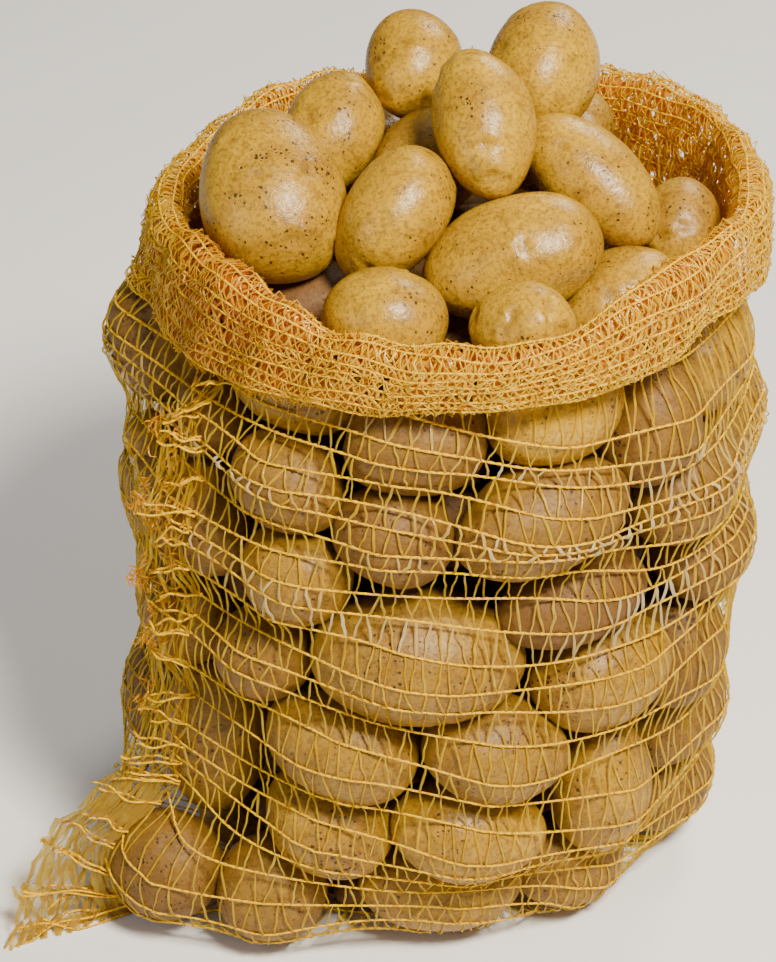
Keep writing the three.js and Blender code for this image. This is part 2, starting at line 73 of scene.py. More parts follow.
# Washed potato skin, dug and rinsed: thin waxy cork over yellow flesh, so it takes a soft highlight,
# with tan clouds a few centimetres wide, brown scuffs, fine scurf and pores of 2 mm and lenticel specks
# of up to about 1 mm, which crowd in the darker clouds. Each potato is also made browner by a share kept on
# its points, partly its own colour and partly painted shade on those that lie in shadow, and the eyes are
# darker, partly their own colour and partly painted shade in their dents.
SKIN_LIGHT, SKIN_TAN, SKIN_BROWN_AND_SHADE = "#C6991C", "#A87C18", "#6A461A"
SKIN_SCUFF, SKIN_SCURF, SKIN_PORE = "#4E3010", "#523408", "#50320A"
SKIN_EYE_AND_SHADE, SKIN_SPECK = "#704C14", "#2A180A"
CLOUD_SIZE, SCUFF_SIZE, SCURF_SIZE = 32 * MM, 11 * MM, 2.2 * MM
PORE_SPACING, SPECK_SPACING = 2.3 * MM, 2.5 * MM
SPECK_LEAST, SPECK_MOST, CLOUD_SPECKS, SCURF_SPECKS = -1.2, -0.69, 1.3, 0.55
TONE_DULLING, SCUFF_RELIEF, GRAIN_DEPTH = 0.4, 1.6, 0.6 * MM
potato_skin = new_material("washed_potato_skin")
place = add_node(potato_skin, "TexCoord")["Object"]
clouds, scuffs, scurf = (
    add_node(
        potato_skin,
        "TexNoise",
        {"Vector": place, "Scale": 1 / size, "Detail": detail, "Roughness": rough, "Distortion": bend},
    )["Fac"]
    for size, detail, rough, bend in (
        (CLOUD_SIZE, 3.0, 0.55, 0.0),
        (SCUFF_SIZE, 6.0, 0.7, 0.6),
        (SCURF_SIZE, 3.0, 0.6, 0.0),
    )
)
pores, specks = (
    add_node(potato_skin, "TexVoronoi", {"Vector": place, "Scale": 1 / spacing})
    for spacing in (PORE_SPACING, SPECK_SPACING)
)
tone_and_shade, eye_shade, freckled = (
    add_node(potato_skin, "Attribute", attribute_name=name)["Fac"]
    for name in ("tone_and_shade", "eye_shade", "freckles")
)
cloud_share, scuff_share, scurf_share, pore_share = (
    add_node(
        potato_skin,
        "MapRange",
        {"Value": value, "From Min": start, "From Max": full, "To Max": most},
    )["Result"]
    for value, start, full, most in (
        (clouds, 0.35, 0.66, 1.0),
        (scuffs, 0.5, 0.7, 0.5),
        (scurf, 0.45, 0.68, 0.55),
        (pores["Distance"], 0.32, 0.12, 0.42),
    )
)
# A speck fills its cell out to a reach that is drawn for each, larger in the clouds, on freckled potatoes
# and in dense scurf, which makes its edge ragged.
speck_draw = add_node(potato_skin, "SeparateColor", {"Color": specks["Color"]})
speck_reach = add_node(
    potato_skin,
    "MapRange",
    {"Value": speck_draw["Red"], "To Min": SPECK_LEAST, "To Max": SPECK_MOST},
)["Result"]
for value, weight in ((clouds, CLOUD_SPECKS), (freckled, 1.0), (scurf, SCURF_SPECKS)):
    speck_reach = add_node(
        potato_skin,
        "Math",
        {0: value, 1: weight, 2: speck_reach},
        operation="MULTIPLY_ADD",
    )["Value"]
speck_depth = add_node(potato_skin, "Math", {0: speck_reach, 1: specks["Distance"]}, operation="SUBTRACT")
speck_share = add_node(
    potato_skin,
    "MapRange",
    {"Value": speck_depth["Value"], "From Max": 0.07, "To Max": 0.88},
)["Result"]
colour = to_linear(SKIN_LIGHT)
# The brown share is partly each potato's own colour and partly painted shade on potatoes in shadow.
for share, shade in (
    (cloud_share, SKIN_TAN),
    (tone_and_shade, SKIN_BROWN_AND_SHADE),
    (scuff_share, SKIN_SCUFF),
    (scurf_share, SKIN_SCURF),
    (pore_share, SKIN_PORE),
    (eye_shade, SKIN_EYE_AND_SHADE),
    (speck_share, SKIN_SPECK),
):
    colour = add_node(potato_skin, "Mix", {0: share, 6: colour, 7: to_linear(shade)}, data_type="RGBA")[2]
gloss = add_node(
    potato_skin,
    "MapRange",
    {"Value": scurf, "From Min": 0.3, "From Max": 0.75, "To Min": 0.2, "To Max": 0.36},
)
dull = add_node(
    potato_skin,
    "Math",
    {0: tone_and_shade, 1: TONE_DULLING, 2: gloss["Result"]},
    operation="MULTIPLY_ADD",
)
relief = add_node(potato_skin, "Math", {0: scurf, 1: speck_share}, operation="SUBTRACT")
lumps = add_node(
    potato_skin,
    "Math",
    {0: scuffs, 1: SCUFF_RELIEF, 2: relief["Value"]},
    operation="MULTIPLY_ADD",
)
grain = add_node(potato_skin, "Bump", {"Height": lumps["Value"], "Strength": 0.5, "Distance": GRAIN_DEPTH})
skin = add_node(
    potato_skin,
    "BsdfPrincipled",
    {
        "Base Color": colour,
        "Roughness": dull["Value"],
        "Normal": grain["Normal"],
        "Specular IOR Level": 0.36,
    },
)
add_node(potato_skin, "OutputMaterial", {"Surface": skin["BSDF"]})


def add_piece(name, points, faces, material, slot, node, **values):
    """Makes a smooth mesh from points and lists of faces with any number of corners, rides it on the
    body and hides the node it stands for. slot is not used. values are numbers kept on its points."""
    mesh = bpy.data.meshes.new(name)
    corners = np.concatenate([f.ravel() for f in faces]).astype(np.int32)
    sizes = np.concatenate([np.full(len(f), f.shape[1]) for f in faces])
    starts = (np.cumsum(sizes) - sizes).astype(np.int32)
    mesh.vertices.add(len(points))
    mesh.vertices.foreach_set("co", np.asarray(points, np.float32).ravel())
    mesh.loops.add(len(corners))
    mesh.loops.foreach_set("vertex_index", corners)
    mesh.polygons.add(len(sizes))
    mesh.polygons.foreach_set("loop_start", starts)
    mesh.polygons.foreach_set("use_smooth", np.ones(len(sizes), bool))
    for key, value in values.items():
        kept = mesh.attributes.new(key, "FLOAT", "POINT")
        kept.data.foreach_set("value", np.asarray(value, np.float32))
    mesh.update(calc_edges=True)
    mesh.materials.append(material)
    piece = bpy.data.objects.new(name, mesh)
    bpy.context.scene.collection.objects.link(piece)
    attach(piece, "root")
    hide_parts(node)
    return piece


def corners_of(node):
    """The corners of a CAD node's solid, each once."""
    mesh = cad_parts[node].data
    flat = np.zeros(len(mesh.vertices) * 3)
    mesh.vertices.foreach_get("co", flat)
    return np.unique(np.round(flat.reshape(-1, 3), 6), axis=0)


def closed_faces(rings, sectors):
    """Quads between the rings and a fan of triangles at each pole, all facing outwards."""
    ring = 1 + np.arange((rings - 1) * sectors).reshape(rings - 1, sectors)
    beside = np.roll(ring, -1, axis=1)
    quads = np.stack([ring[:-1], ring[1:], beside[1:], beside[:-1]], axis=-1).reshape(-1, 4)
    first, last = np.zeros(sectors, int), np.full(sectors, ring.max() + 1)
    fans = np.concatenate(
        [np.stack([first, ring[0], beside[0]], -1), np.stack([last, beside[-1], ring[-1]], -1)]
    )
    return [quads, fans]


def egg_of(corners):
    """The middle, axes and half-lengths of the ellipsoid with the corners' spread, the longest last."""
    middle = corners.mean(axis=0)
    spread, axes = np.linalg.eigh(np.cov((corners - middle).T))
    axes[:, 0] *= np.sign(np.linalg.det(axes))
    return middle, axes, np.sqrt(3 * spread)


def unit_of(vectors):
    """Each vector, along the last axis, over its length."""
    return vectors / (np.linalg.norm(vectors, axis=-1, keepdims=True) + TINY)


NEARNESS, TINY = 14.0, 1e-12
WAVE_COUNT, WAVE_HEIGHT, WAVE_TURNS, PHASES = 6, 0.015, 1.9, 6.3
EYE_COUNT, EYE_RADIUS, EYE_DEPTH, EYE_LEAST = 6, 3.8 * MM, 1.8 * MM, 0.4
EYE_STRETCH = np.array([0.8, 0.8, 1.3])
BROW_HEIGHT, BROW_AWAY, BROW_WIDTH = 0.45, 1.5, 0.7
SHADE_MOST, SHADE_RADIUS = 0.55, 0.75
SIGHT_RISE = np.radians(34.0)
SIGHT = np.array(
    [[1, 0, 0], [0, np.sin(SIGHT_RISE), np.cos(SIGHT_RISE)], [0, -np.cos(SIGHT_RISE), np.sin(SIGHT_RISE)]]
).T


def eye_seen(unit, half, axes, place):
    """The direction, of all those of an egg, that shows nearest to a place on it. The place is a share of
    its half width and one of its half height, seen from the front and above."""
    offset = (unit * half) @ axes.T @ SIGHT
    share = offset[:, :2] / np.abs(offset[:, :2]).max(axis=0)
    miss = np.where(offset[:, 2] > 0, np.linalg.norm(share - place, axis=1), np.inf)
    return unit[miss.argmin()]


def potato(corners, shrink, rings, sectors, rng, eye_place=None):
    """A potato's skin over latitude and longitude, its poles at the ends of its length.
    The spread of the solid's corners gives an ellipsoid; in each direction the skin stands at it times the
    corners' own reach there, averaged by nearness and shrunk a little, with a few low waves and with eyes
    dented in, the first where it is asked for."""
    middle, axes, half = egg_of(corners)
    local = (corners - middle) @ axes / half
    reach = np.linalg.norm(local, axis=1)
    latitude = np.linspace(0, np.pi, rings + 1)[1:-1, None]
    longitude = np.linspace(0, 2 * np.pi, sectors, endpoint=False)[None, :]
    ring_points = np.stack(
        [
            np.sin(latitude) * np.cos(longitude),
            np.sin(latitude) * np.sin(longitude),
            np.cos(latitude) + 0 * longitude,
        ],
        axis=-1,
    ).reshape(-1, 3)
    unit = np.concatenate([[[0, 0, 1]], ring_points, [[0, 0, -1]]])
    near = np.exp(NEARNESS * (unit @ (local / reach[:, None]).T - 1))
    stand = near @ reach / near.sum(axis=1) / shrink
    waves = rng.normal(size=(3, WAVE_COUNT)) * WAVE_TURNS
    stand = stand + WAVE_HEIGHT * np.sin(unit @ waves + rng.uniform(0, PHASES, WAVE_COUNT)).sum(axis=1)
    eyes = unit_of(rng.normal(size=(EYE_COUNT, 3)))
    if eye_place:
        eyes[0] = eye_seen(unit, half, axes, eye_place)
    apart = (unit[:, None] - eyes[None]) * half * EYE_STRETCH
    along = apart[..., 2] / EYE_RADIUS
    away = np.linalg.norm(apart, axis=2) / EYE_RADIUS
    brow = np.exp(-(((away - BROW_AWAY) / BROW_WIDTH) ** 2)) * (along > 0)
    dent = np.exp(-(away**2)) - BROW_HEIGHT * brow
    depth = EYE_DEPTH * rng.uniform(EYE_LEAST, 1.0, EYE_COUNT)
    if eye_place:
        depth[0] = EYE_DEPTH
    stand = stand - (dent * depth).sum(axis=1) / np.linalg.norm(unit * half, axis=1)
    # Painted darker in the eyes: partly their own browner colour and partly painted shade in their dents.
    shade = np.clip(SHADE_MOST * np.exp(-((away / SHADE_RADIUS) ** 2)).sum(axis=1), 0, 1)
    return middle + (unit * stand[:, None] * half) @ axes.T, shade


def join(parts):
    """One list of points and of faces from several parts: a part's faces count on from those before it."""
    before = np.cumsum([0] + [len(points) for points, _ in parts])
    faces = [f + start for (_, part_faces), start in zip(parts, before) for f in part_faces]
    return np.concatenate([points for points, _ in parts]), faces


def add_potatoes(name, node, groups, size, rng, tones_and_shade, freckles, eye_place=None):
    """Makes one piece of a node's potatoes: a skin for each group of its solid's corners. How brown each
    is painted, drawn between two values and partly painted shade, its eyes with their painted shade and its
    freckles are kept on the points."""
    parts, looks = [], []
    for corners in groups:
        points, shade = potato(corners, *size, rng, eye_place)
        brown = rng.uniform(*tones_and_shade)
        parts.append((points, closed_faces(*size[1:])))
        looks.append(np.stack(np.broadcast_arrays(brown, shade, freckles)))
        skins.append(points)
        eggs.append(egg_of(corners))
    kept = dict(zip(("tone_and_shade", "eye_shade", "freckles"), np.concatenate(looks, axis=1)))
    add_piece(name, *join(parts), potato_skin, "potato_skin", node, **kept)


# Sizes are how much a skin is shrunk, its rings and its sectors.
HEAP_COUNT, HEAP_SEED, HEAP_SIZE = 18, 100, (1.02, 60, 80)
# How brown each heap potato is painted; potato 14, which lies in shadow among the others, is brown all over
# as painted shade.
HEAP_TONE_AND_SHADE, HEAP_PLAIN = {4: 0.12, 6: 0.4, 10: 0.3, 13: 0.15, 14: 1.0, 15: 0.35}, 0.05
HEAP_FRECKLES = {1: 0.02, 2: 0.03, 4: 0.05}
HEAP_EYES = {1: (-0.15, 0.35), 3: (0, -0.3), 4: (0.49, 0.15), 5: (-0.4, 0.2), 8: (0.06, 0.13)}
skins, eggs = [], []
for index in range(1, HEAP_COUNT + 1):
    name, node = f"potato_on_heap_{index}", f"heap_potato_{index}"
    rng = np.random.default_rng(HEAP_SEED + index)
    tones_and_shade = (HEAP_TONE_AND_SHADE.get(index, HEAP_PLAIN),) * 2
    freckles, eye_place = HEAP_FRECKLES.get(index, 0.0), HEAP_EYES.get(index)
    add_potatoes(name, node, [corners_of(node)], HEAP_SIZE, rng, tones_and_shade, freckles, eye_place)

# The potatoes behind the net: the same crop, pressed against the front and the sides of the sack.
# Each follows its own solid, with fewer rings because the net covers it.
WALL_COUNT, WALL_SEED, WALL_SIZE = 34, 200, (1.025, 28, 40)
# How brown each wall potato is painted: partly its own colour and partly painted shade, darker for those in
# shadow under the cuff and on the left.
WALL_TONE_AND_SHADE = {2: 0.3, 4: 0.05, 6: 0.4, 11: 0.5, 13: 0.5, 19: 0.5, 20: 0.45, 22: 0.6, 23: 0.5, 24: 0.55}
WALL_TONE_AND_SHADE |= {25: 0.3, 28: 0.3, 29: 0.25, 30: 0.8, 31: 0.65, 32: 0.4, 33: 0.6}
WALL_TONES_AND_SHADE, WALL_FRECKLES = (0.65, 0.95), 0.06
for index in range(1, WALL_COUNT + 1):
    name, node = f"potato_at_net_{index}", f"wall_potato_{index}"
    rng = np.random.default_rng(WALL_SEED + index)
    tones_and_shade = (WALL_TONE_AND_SHADE[index],) * 2 if index in WALL_TONE_AND_SHADE else WALL_TONES_AND_SHADE
    add_potatoes(name, node, [corners_of(node)], WALL_SIZE, rng, tones_and_shade, WALL_FRECKLES)


# The potatoes round the back, in courses, and those that show in the gaps of the heap. A course's solid
# is parted in equal turns and the other by the nearest middle, and each part gets its own skin.
def azimuth_of(points):
    """Degrees from the front, positive to the right."""
    return np.degrees(np.arctan2(points[:, 0], -points[:, 1]))


BACK_COUNTS = {1: 5, 2: 6, 3: 6, 4: 6, 5: 5, 6: 5}
UNDER_MIDDLES = np.array([[25, 8], [-30, 12], [80, 20], [22, -46], [34, 56]]) * MM
# The under potatoes, seen only in the heap's gaps, are painted dark brown as painted shade.
BACK_SEED, BACK_TONES, UNDER_SHADE_TONES = 300, (0.3, 0.8), (0.85, 1.0)
groups = []
for index, count in BACK_COUNTS.items():
    corners = corners_of(f"back_potatoes_{index}")
    turn = azimuth_of(corners) % 360
    share = (turn - turn.min()) / np.ptp(turn)
    groups.append((f"back_potatoes_{index}", corners, np.minimum((share * count).astype(int), count - 1)))
corners = corners_of("under_potatoes")
apart = np.linalg.norm(corners[:, None, :2] - UNDER_MIDDLES[None], axis=2)
groups.append(("under_potatoes", corners, apart.argmin(axis=1)))
for index, (node, corners, member) in enumerate(groups):
    rng = np.random.default_rng(BACK_SEED + index)
    tones_and_shade = UNDER_SHADE_TONES if node == "under_potatoes" else BACK_TONES
    each = [corners[member == k] for k in range(member.max() + 1)]
    add_potatoes(f"potatoes_of_{node}", node, each, WALL_SIZE, rng, tones_and_shade, WALL_FRECKLES)

# The potatoes deeper in the sack, which show only as dark shapes in the gaps between the outer ones and are
# painted brown as painted shade. Each is an egg put into the widest room left among those already there, as
# large as fits.
OUTLINE_HEIGHTS = np.array([0, 20, 60, 150, 250, 300, 320, 345, 386]) * MM
OUTLINE_RADII = np.array([128, 152, 168, 173, 176, 168, 161, 148, 139]) * MM
CORE_MOST, CORE_LEAST, CORE_COUNT, CORE_TRIALS = 38 * MM, 9 * MM, 150, 16000
CORE_TOP = 330 * MM
CORE_AZIMUTHS = (-180, -108, -98, -62, -52, 180)
CORE_INSETS = np.array([24, 24, 12, 12, 24, 24]) * MM
# Painted shade: the core is brown all over, less so in the column on the left.
CORE_SHADE_TONES = (1.0, 1.0, 0.6, 0.6, 1.0, 1.0)
CORE_SHAPE = np.array([0.9, 0.96, 1.1])
CORE_SEED, CORE_SIZE, CORE_POINTS = 400, (1.0, 14, 18), 60


def room_beside(trials, egg):
    """How far each trial point lies outside an egg, along the line to the egg's middle."""
    middle, axes, half = egg
    away = np.linalg.norm((trials - middle) @ axes / half, axis=1) + 1e-6
    return (away - 1) * np.linalg.norm(trials - middle, axis=1) / away


def core_eggs(rng):
    """Eggs that fill what the skins leave free: trial points over the sack's inside, the one with most room
    taken each time."""
    height = rng.uniform(0, CORE_TOP, CORE_TRIALS)
    azimuth = rng.uniform(-180, 180, CORE_TRIALS)
    inset = np.interp(azimuth, CORE_AZIMUTHS, CORE_INSETS)
    widest = np.interp(height, OUTLINE_HEIGHTS, OUTLINE_RADII) - inset
    radius = widest * np.sqrt(rng.uniform(0, 1, CORE_TRIALS))
    turn = np.radians(azimuth)
    trials = np.stack([radius * np.sin(turn), -radius * np.cos(turn), height], axis=1)
    room = np.minimum(widest - radius, height) / CORE_SHAPE.max()
    for egg in eggs:
        room = np.minimum(room, room_beside(trials, egg))
    found = []
    while len(found) < CORE_COUNT and room.max() > CORE_LEAST:
        best = room.argmax()
        axes = np.linalg.qr(rng.normal(size=(3, 3)))[0]
        found.append((trials[best], axes, min(room[best], CORE_MOST) * CORE_SHAPE))
        room = np.minimum(room, room_beside(trials, found[-1]))
    return found


rng = np.random.default_rng(CORE_SEED)
parts, tones_and_shade = [], []
for middle, axes, half in core_eggs(rng):
    cloud = unit_of(rng.normal(size=(CORE_POINTS, 3)))
    points, _ = potato(middle + (cloud * half) @ axes.T, *CORE_SIZE, rng)
    parts.append((points, closed_faces(*CORE_SIZE[1:])))
    tones_and_shade.append(np.full(len(points), np.interp(azimuth_of(middle[None]), CORE_AZIMUTHS, CORE_SHADE_TONES)))
    skins.append(points)
looks = {"tone_and_shade": np.concatenate(tones_and_shade)}
add_piece("potatoes_of_core", *join(parts), potato_skin, "potato_skin", "under_potatoes", **looks)

# The net's cloth: knitted polyethylene, drawn tight over the potatoes from the floor up to the neck. This
# is the surface that the knit is laid on, kept as lengths along rays from the sack's middle: level rays on
# the wall, and rays that fan down to the floor below it.
OUTLINE_LEANS = np.array([0, 0, 0, 2, 5, 8, 10, 13, 17]) * MM
FAN_HEIGHT, FLOOR_RADIUS, NECK_HEIGHT = 110 * MM, 110 * MM, 366 * MM
FAN_RADIUS = 172 * MM
GRID_STEP, COLUMNS = 3 * MM, 360
YARN_LIFT, FLOOR_LIFT, BASE_HOLE = 1.0 * MM, 0.9 * MM, 6 * MM
CORD_PULL, DRAPE_PASSES, LAST_CELL = 0.92, 1800, 1.001
NECK_WAVES = ((2 * MM, 3, 0.7), (1.2 * MM, 7, 0.0))
steepest = np.arctan2(FAN_HEIGHT, FLOOR_RADIUS)
base_rows = np.arange(BASE_HOLE, FLOOR_RADIUS - GRID_STEP / 2, GRID_STEP)
fan_rows = np.linspace(-steepest * FAN_RADIUS, 0, int(steepest * FAN_RADIUS / GRID_STEP) + 1)
level_rows = np.arange(GRID_STEP, NECK_HEIGHT - FAN_HEIGHT + GRID_STEP / 2, GRID_STEP)
wall_runs = np.concatenate([fan_rows, level_rows])
drops = np.maximum(-wall_runs, 0) / FAN_RADIUS
heights = FAN_HEIGHT + np.maximum(wall_runs, 0)
azimuths = np.arange(COLUMNS) * 360 / COLUMNS - 180
turns = np.radians(azimuths)
headings = np.stack([np.sin(turns), -np.cos(turns), 0 * turns], axis=1)


def lean_at(height):
    """How far the sack's middle leans to the right at each height."""
    return np.interp(height, OUTLINE_HEIGHTS, OUTLINE_LEANS)


def potato_reach():
    """How far the potatoes reach along each ray: the farthest skin point in each cell of the grid."""
    points = np.concatenate(skins)
    points = points[points[:, 2] < NECK_HEIGHT + GRID_STEP]
    height = points[:, 2]
    across = points[:, :2] - np.stack([lean_at(np.maximum(height, FAN_HEIGHT)), 0 * height], axis=1)
    flat = np.linalg.norm(across, axis=1)
    fall = np.maximum(FAN_HEIGHT - height, 0)
    length = np.hypot(flat, fall)
    run = np.where(fall > 0, -np.arctan2(fall, flat) * FAN_RADIUS, height - FAN_HEIGHT)
    column = np.round((azimuth_of(across) + 180) * COLUMNS / 360).astype(int) % COLUMNS
    row = np.round(np.interp(run, wall_runs, np.arange(len(wall_runs)), left=-1)).astype(int)
    reach = np.zeros((len(wall_runs), COLUMNS))
    np.maximum.at(reach, (row[row >= 0], column[row >= 0]), length[row >= 0])
    return reach


def drape():
    """Each length moves to the straight line between its neighbours, mostly those along the cord, and stays
    outside the potatoes and above the floor. The top is the neck, a ring with a few low waves."""
    reach = potato_reach() + YARN_LIFT
    neck = OUTLINE_RADII[-1] + sum(rise * np.sin(n * turns + start) for rise, n, start in NECK_WAVES)
    lengths = np.interp(heights, OUTLINE_HEIGHTS, OUTLINE_RADII) / np.cos(drops)
    lengths = np.repeat(lengths[:, None], COLUMNS, axis=1)
    angle = (2 * np.pi / COLUMNS) * np.cos(drops)[:, None]
    tilt = np.gradient(-drops)[:, None]
    limit = (FAN_HEIGHT - FLOOR_LIFT) / np.maximum(np.sin(drops), 1e-6)[:, None]
    for _ in range(DRAPE_PASSES):
        left, right = np.roll(lengths, 1, axis=1), np.roll(lengths, -1, axis=1)
        level = 2 * left * right * np.cos(angle) / (left + right)
        below, above = np.roll(lengths, 1, axis=0), np.roll(lengths, -1, axis=0)
        upright = 2 * below * above * np.cos(tilt) / (below + above)
        pulled = CORD_PULL * level + (1 - CORD_PULL) * upright
        lengths = np.minimum(np.maximum(pulled, reach), limit)
        lengths[0] = np.hypot(FAN_HEIGHT, FLOOR_RADIUS) - FLOOR_LIFT
        lengths[-1] = np.maximum(neck, reach[-1])
    return lengths


lengths = drape()
origins = np.stack([lean_at(heights), 0 * heights, heights], axis=1)
slopes = np.cos(drops)[:, None, None] * headings + np.sin(drops)[:, None, None] * [0, 0, -1]
wall = origins[:, None] + slopes * lengths[..., None]
base = headings[None] * base_rows[:, None, None] + [0, 0, FLOOR_LIFT]
net_points = np.concatenate([base, wall])
net_runs = np.concatenate([base_rows - FLOOR_RADIUS + wall_runs[0], wall_runs])


def ways_along(points, wraps):
    """The way each row of a grid runs, from the point before to the one after. It may close on itself."""
    if wraps:
        return np.roll(points, -1, axis=1) - np.roll(points, 1, axis=1)
    return np.gradient(points, axis=1)


def directions_of(points, wraps):
    """Outward unit direction at each point of a grid: across the columns times up the rows."""
    return unit_of(np.cross(ways_along(points, wraps), np.gradient(points, axis=0)))


def sampler(points, wraps):
    """A function of row and column numbers, whole or not, that gives the grid's point and outward direction
    there, on straight lines between grid points."""
    kept = np.concatenate([points, directions_of(points, wraps)], axis=2)
    rows, columns = points.shape[:2]

    def sample(row, column):
        """The four grid points about each place, weighted by how near it is to each."""
        row = np.clip(row, 0, rows - LAST_CELL)
        column = column % columns if wraps else np.clip(column, 0, columns - LAST_CELL)
        low, left = row.astype(int), column.astype(int)
        right = (left + 1) % columns
        up, over = (row - low)[..., None], (column - left)[..., None]
        lower = kept[low, left] * (1 - over) + kept[low, right] * over
        upper = kept[low + 1, left] * (1 - over) + kept[low + 1, right] * over
        found = lower * (1 - up) + upper * up
        return found[..., :3], found[..., 3:]

    return sample


net_sample = sampler(net_points, True)


def on_net(azimuth, run):
    """The net's point and outward direction at an azimuth in degrees and a run along its profile."""
    row = np.interp(run, net_runs, np.arange(len(net_runs)))
    return net_sample(row, (azimuth + 180) * COLUMNS / 360)


# The cords: chain-stitched polyethylene yarn 1.35 mm thick that runs round the sack about every 14 mm.
# They sink to the right and crowd together where the net is dragged, as the front of the sack shows.
CORD_AZIMUTHS = (-40, -10, 20, 50)
CORD_HEIGHTS = np.array(
    [
        *[[362, 362, 352, 342], [350, 348, 327, 318], [335, 338, 311, 302], [322, 327, 305, 290]],
        *[[313, 314, 293, 276], [304, 299, 282, 268], [298, 291, 276, 261], [282, 280, 273, 246]],
        *[[266, 270, 261, 231], [257, 252, 241, 224], [250, 236, 224, 212], [236, 221, 204, 197]],
        *[[215, 205, 190, 185], [203, 193, 173, 170], [193, 174, 153, 146], [171, 155, 135, 122]],
        *[[147, 140, 113, 101], [126, 117, 95, 77], [109, 97, 77, 57], [95, 82, 66, 43]],
        *[[80, 68, 52, 28], [65, 54, 39, 14], [51, 40, 26, 2], [37, 27, 14, -9]],
        *[[23, 14, 3, -20], [9, 2, -8, -32], [-4, -10, -20, -44], [-18, -24, -34, -58]],
        *[[-32, -38, -48, -71], [-46, -52, -62, -83], [-60, -66, -76, -93], [-74, -80, -90, -102]],
    ]
) * MM
LEFT_KNOT, RIGHT_KNOT, LEFT_SHARE, SEAM_DRAG_AZIMUTH = -110, 100, 0.8, -60
SEAM_DRAG_HEIGHTS = np.array([-40, 10, 70, 110, 150]) * MM
SEAM_DRAGS = np.array([0, 22, 24, 14, 0]) * MM
HEIGHT_KNOTS = np.array([-104, 0, 20, 60, 110, 400]) * MM
RUN_KNOTS = np.array([-239.1, -135.1, -91.9, -49.8, 0, 290]) * MM
CORD_SEED, CORD_WAVES, CORD_WANDER = 500, (5, 9, 16, 27), 6.0 * MM
WANDER_SHARES, WANDER_FALL, CORD_SMOOTHING, CORD_SPACING = (0.2, 1.0), 0.75, 7.0, 1.7 * MM
CORD_THICKNESS, CORD_SIDES, CORD_STEPS = 1.35 * MM, 4, 700
CHAIN_LINK, CHAIN_SWELL, LEAST_HEIGHT = 4.6 * MM, 0.38, 0.2 * MM


def rounded(values, width):
    """Values at every degree smoothed round the sack by a bell of that width in radians: each of their
    waves is scaled by the bell's share of it."""
    waves = np.fft.rfftfreq(COLUMNS, 1 / COLUMNS)
    soften = np.exp(-0.5 * (waves * width) ** 2)
    return np.fft.irfft(np.fft.rfft(values) * soften, COLUMNS)


def cord_runs():
    """The runs of the cords at every degree, under one at the neck: straight lines through the heights on
    the front and round the back, lifted beside the seam, with low waves, rounded off and kept apart."""
    left, right = CORD_HEIGHTS[:, 0], CORD_HEIGHTS[:, -1]
    behind = (left + right) / 2
    beside = LEFT_SHARE * left + (1 - LEFT_SHARE) * behind
    dragged = left + np.interp(left, SEAM_DRAG_HEIGHTS, SEAM_DRAGS)
    knots = (-180, LEFT_KNOT, SEAM_DRAG_AZIMUTH, *CORD_AZIMUTHS, RIGHT_KNOT, 180)
    table = np.stack([behind, beside, dragged, *CORD_HEIGHTS.T, right, behind], axis=1)
    height = np.stack([np.interp(azimuths, knots, row) for row in table])
    rng = np.random.default_rng(CORD_SEED)
    for count in CORD_WAVES:
        reach = rng.uniform(*WANDER_SHARES, len(height))[:, None] * CORD_WANDER / count**WANDER_FALL
        height = height + reach * np.sin(count * turns + rng.uniform(0, PHASES, len(height))[:, None])
    height = rounded(height, np.radians(CORD_SMOOTHING))
    for k in range(1, len(height)):
        height[k] = np.minimum(height[k], height[k - 1] - CORD_SPACING)
    top = np.full((1, COLUMNS), wall_runs[-1])
    return np.concatenate([top, np.interp(height, HEIGHT_KNOTS, RUN_KNOTS)])


def tubes(paths, outward, thickness, closed):
    """Cords carried along paths: a ring of points about each path point, swollen on two opposite sides that
    turn with the chain's links, closed round the sack or capped at both ends."""
    along = unit_of(ways_along(paths, closed))
    across = unit_of(np.cross(along, outward))
    outward = np.cross(across, along)
    travel = np.linalg.norm(np.diff(paths, axis=1, prepend=paths[:, :1]), axis=2).cumsum(axis=1)
    turn = 2 * np.pi * np.arange(CORD_SIDES) / CORD_SIDES
    swell = 1 + CHAIN_SWELL * np.cos(2 * turn - 2 * np.pi * travel[..., None] / CHAIN_LINK)
    ring = across[:, :, None] * np.cos(turn)[:, None] + outward[:, :, None] * np.sin(turn)[:, None]
    points = paths[:, :, None] + ring * (0.5 * thickness * swell)[..., None]
    points[..., 2] = np.maximum(points[..., 2], LEAST_HEIGHT)
    index = np.arange(points[..., 0].size).reshape(points.shape[:3])
    ahead = np.roll(index, -1, axis=1) if closed else index[:, 1:]
    here = index if closed else index[:, :-1]
    quads = np.stack([here, ahead, np.roll(ahead, -1, axis=2), np.roll(here, -1, axis=2)], axis=-1)
    faces = [quads.reshape(-1, 4)]
    if not closed:
        faces += [index[:, 0], index[:, -1, ::-1]]
    return points.reshape(-1, 3), faces


runs = cord_runs()


def run_at(k, azimuth):
    """The run of cords k at azimuths, between whole degrees on straight lines."""
    column = (azimuth + 180) % 360
    left = column.astype(int) % COLUMNS
    share = column - column.astype(int)
    return runs[k, left] * (1 - share) + runs[k, (left + 1) % COLUMNS] * share


every = np.arange(len(runs))[:, None]
around = np.arange(CORD_STEPS)[None] * 360 / CORD_STEPS - 180 + 0 * every
paths, outward = on_net(around, run_at(every, around))
cord_points, cord_faces = tubes(paths, outward, CORD_THICKNESS, True)

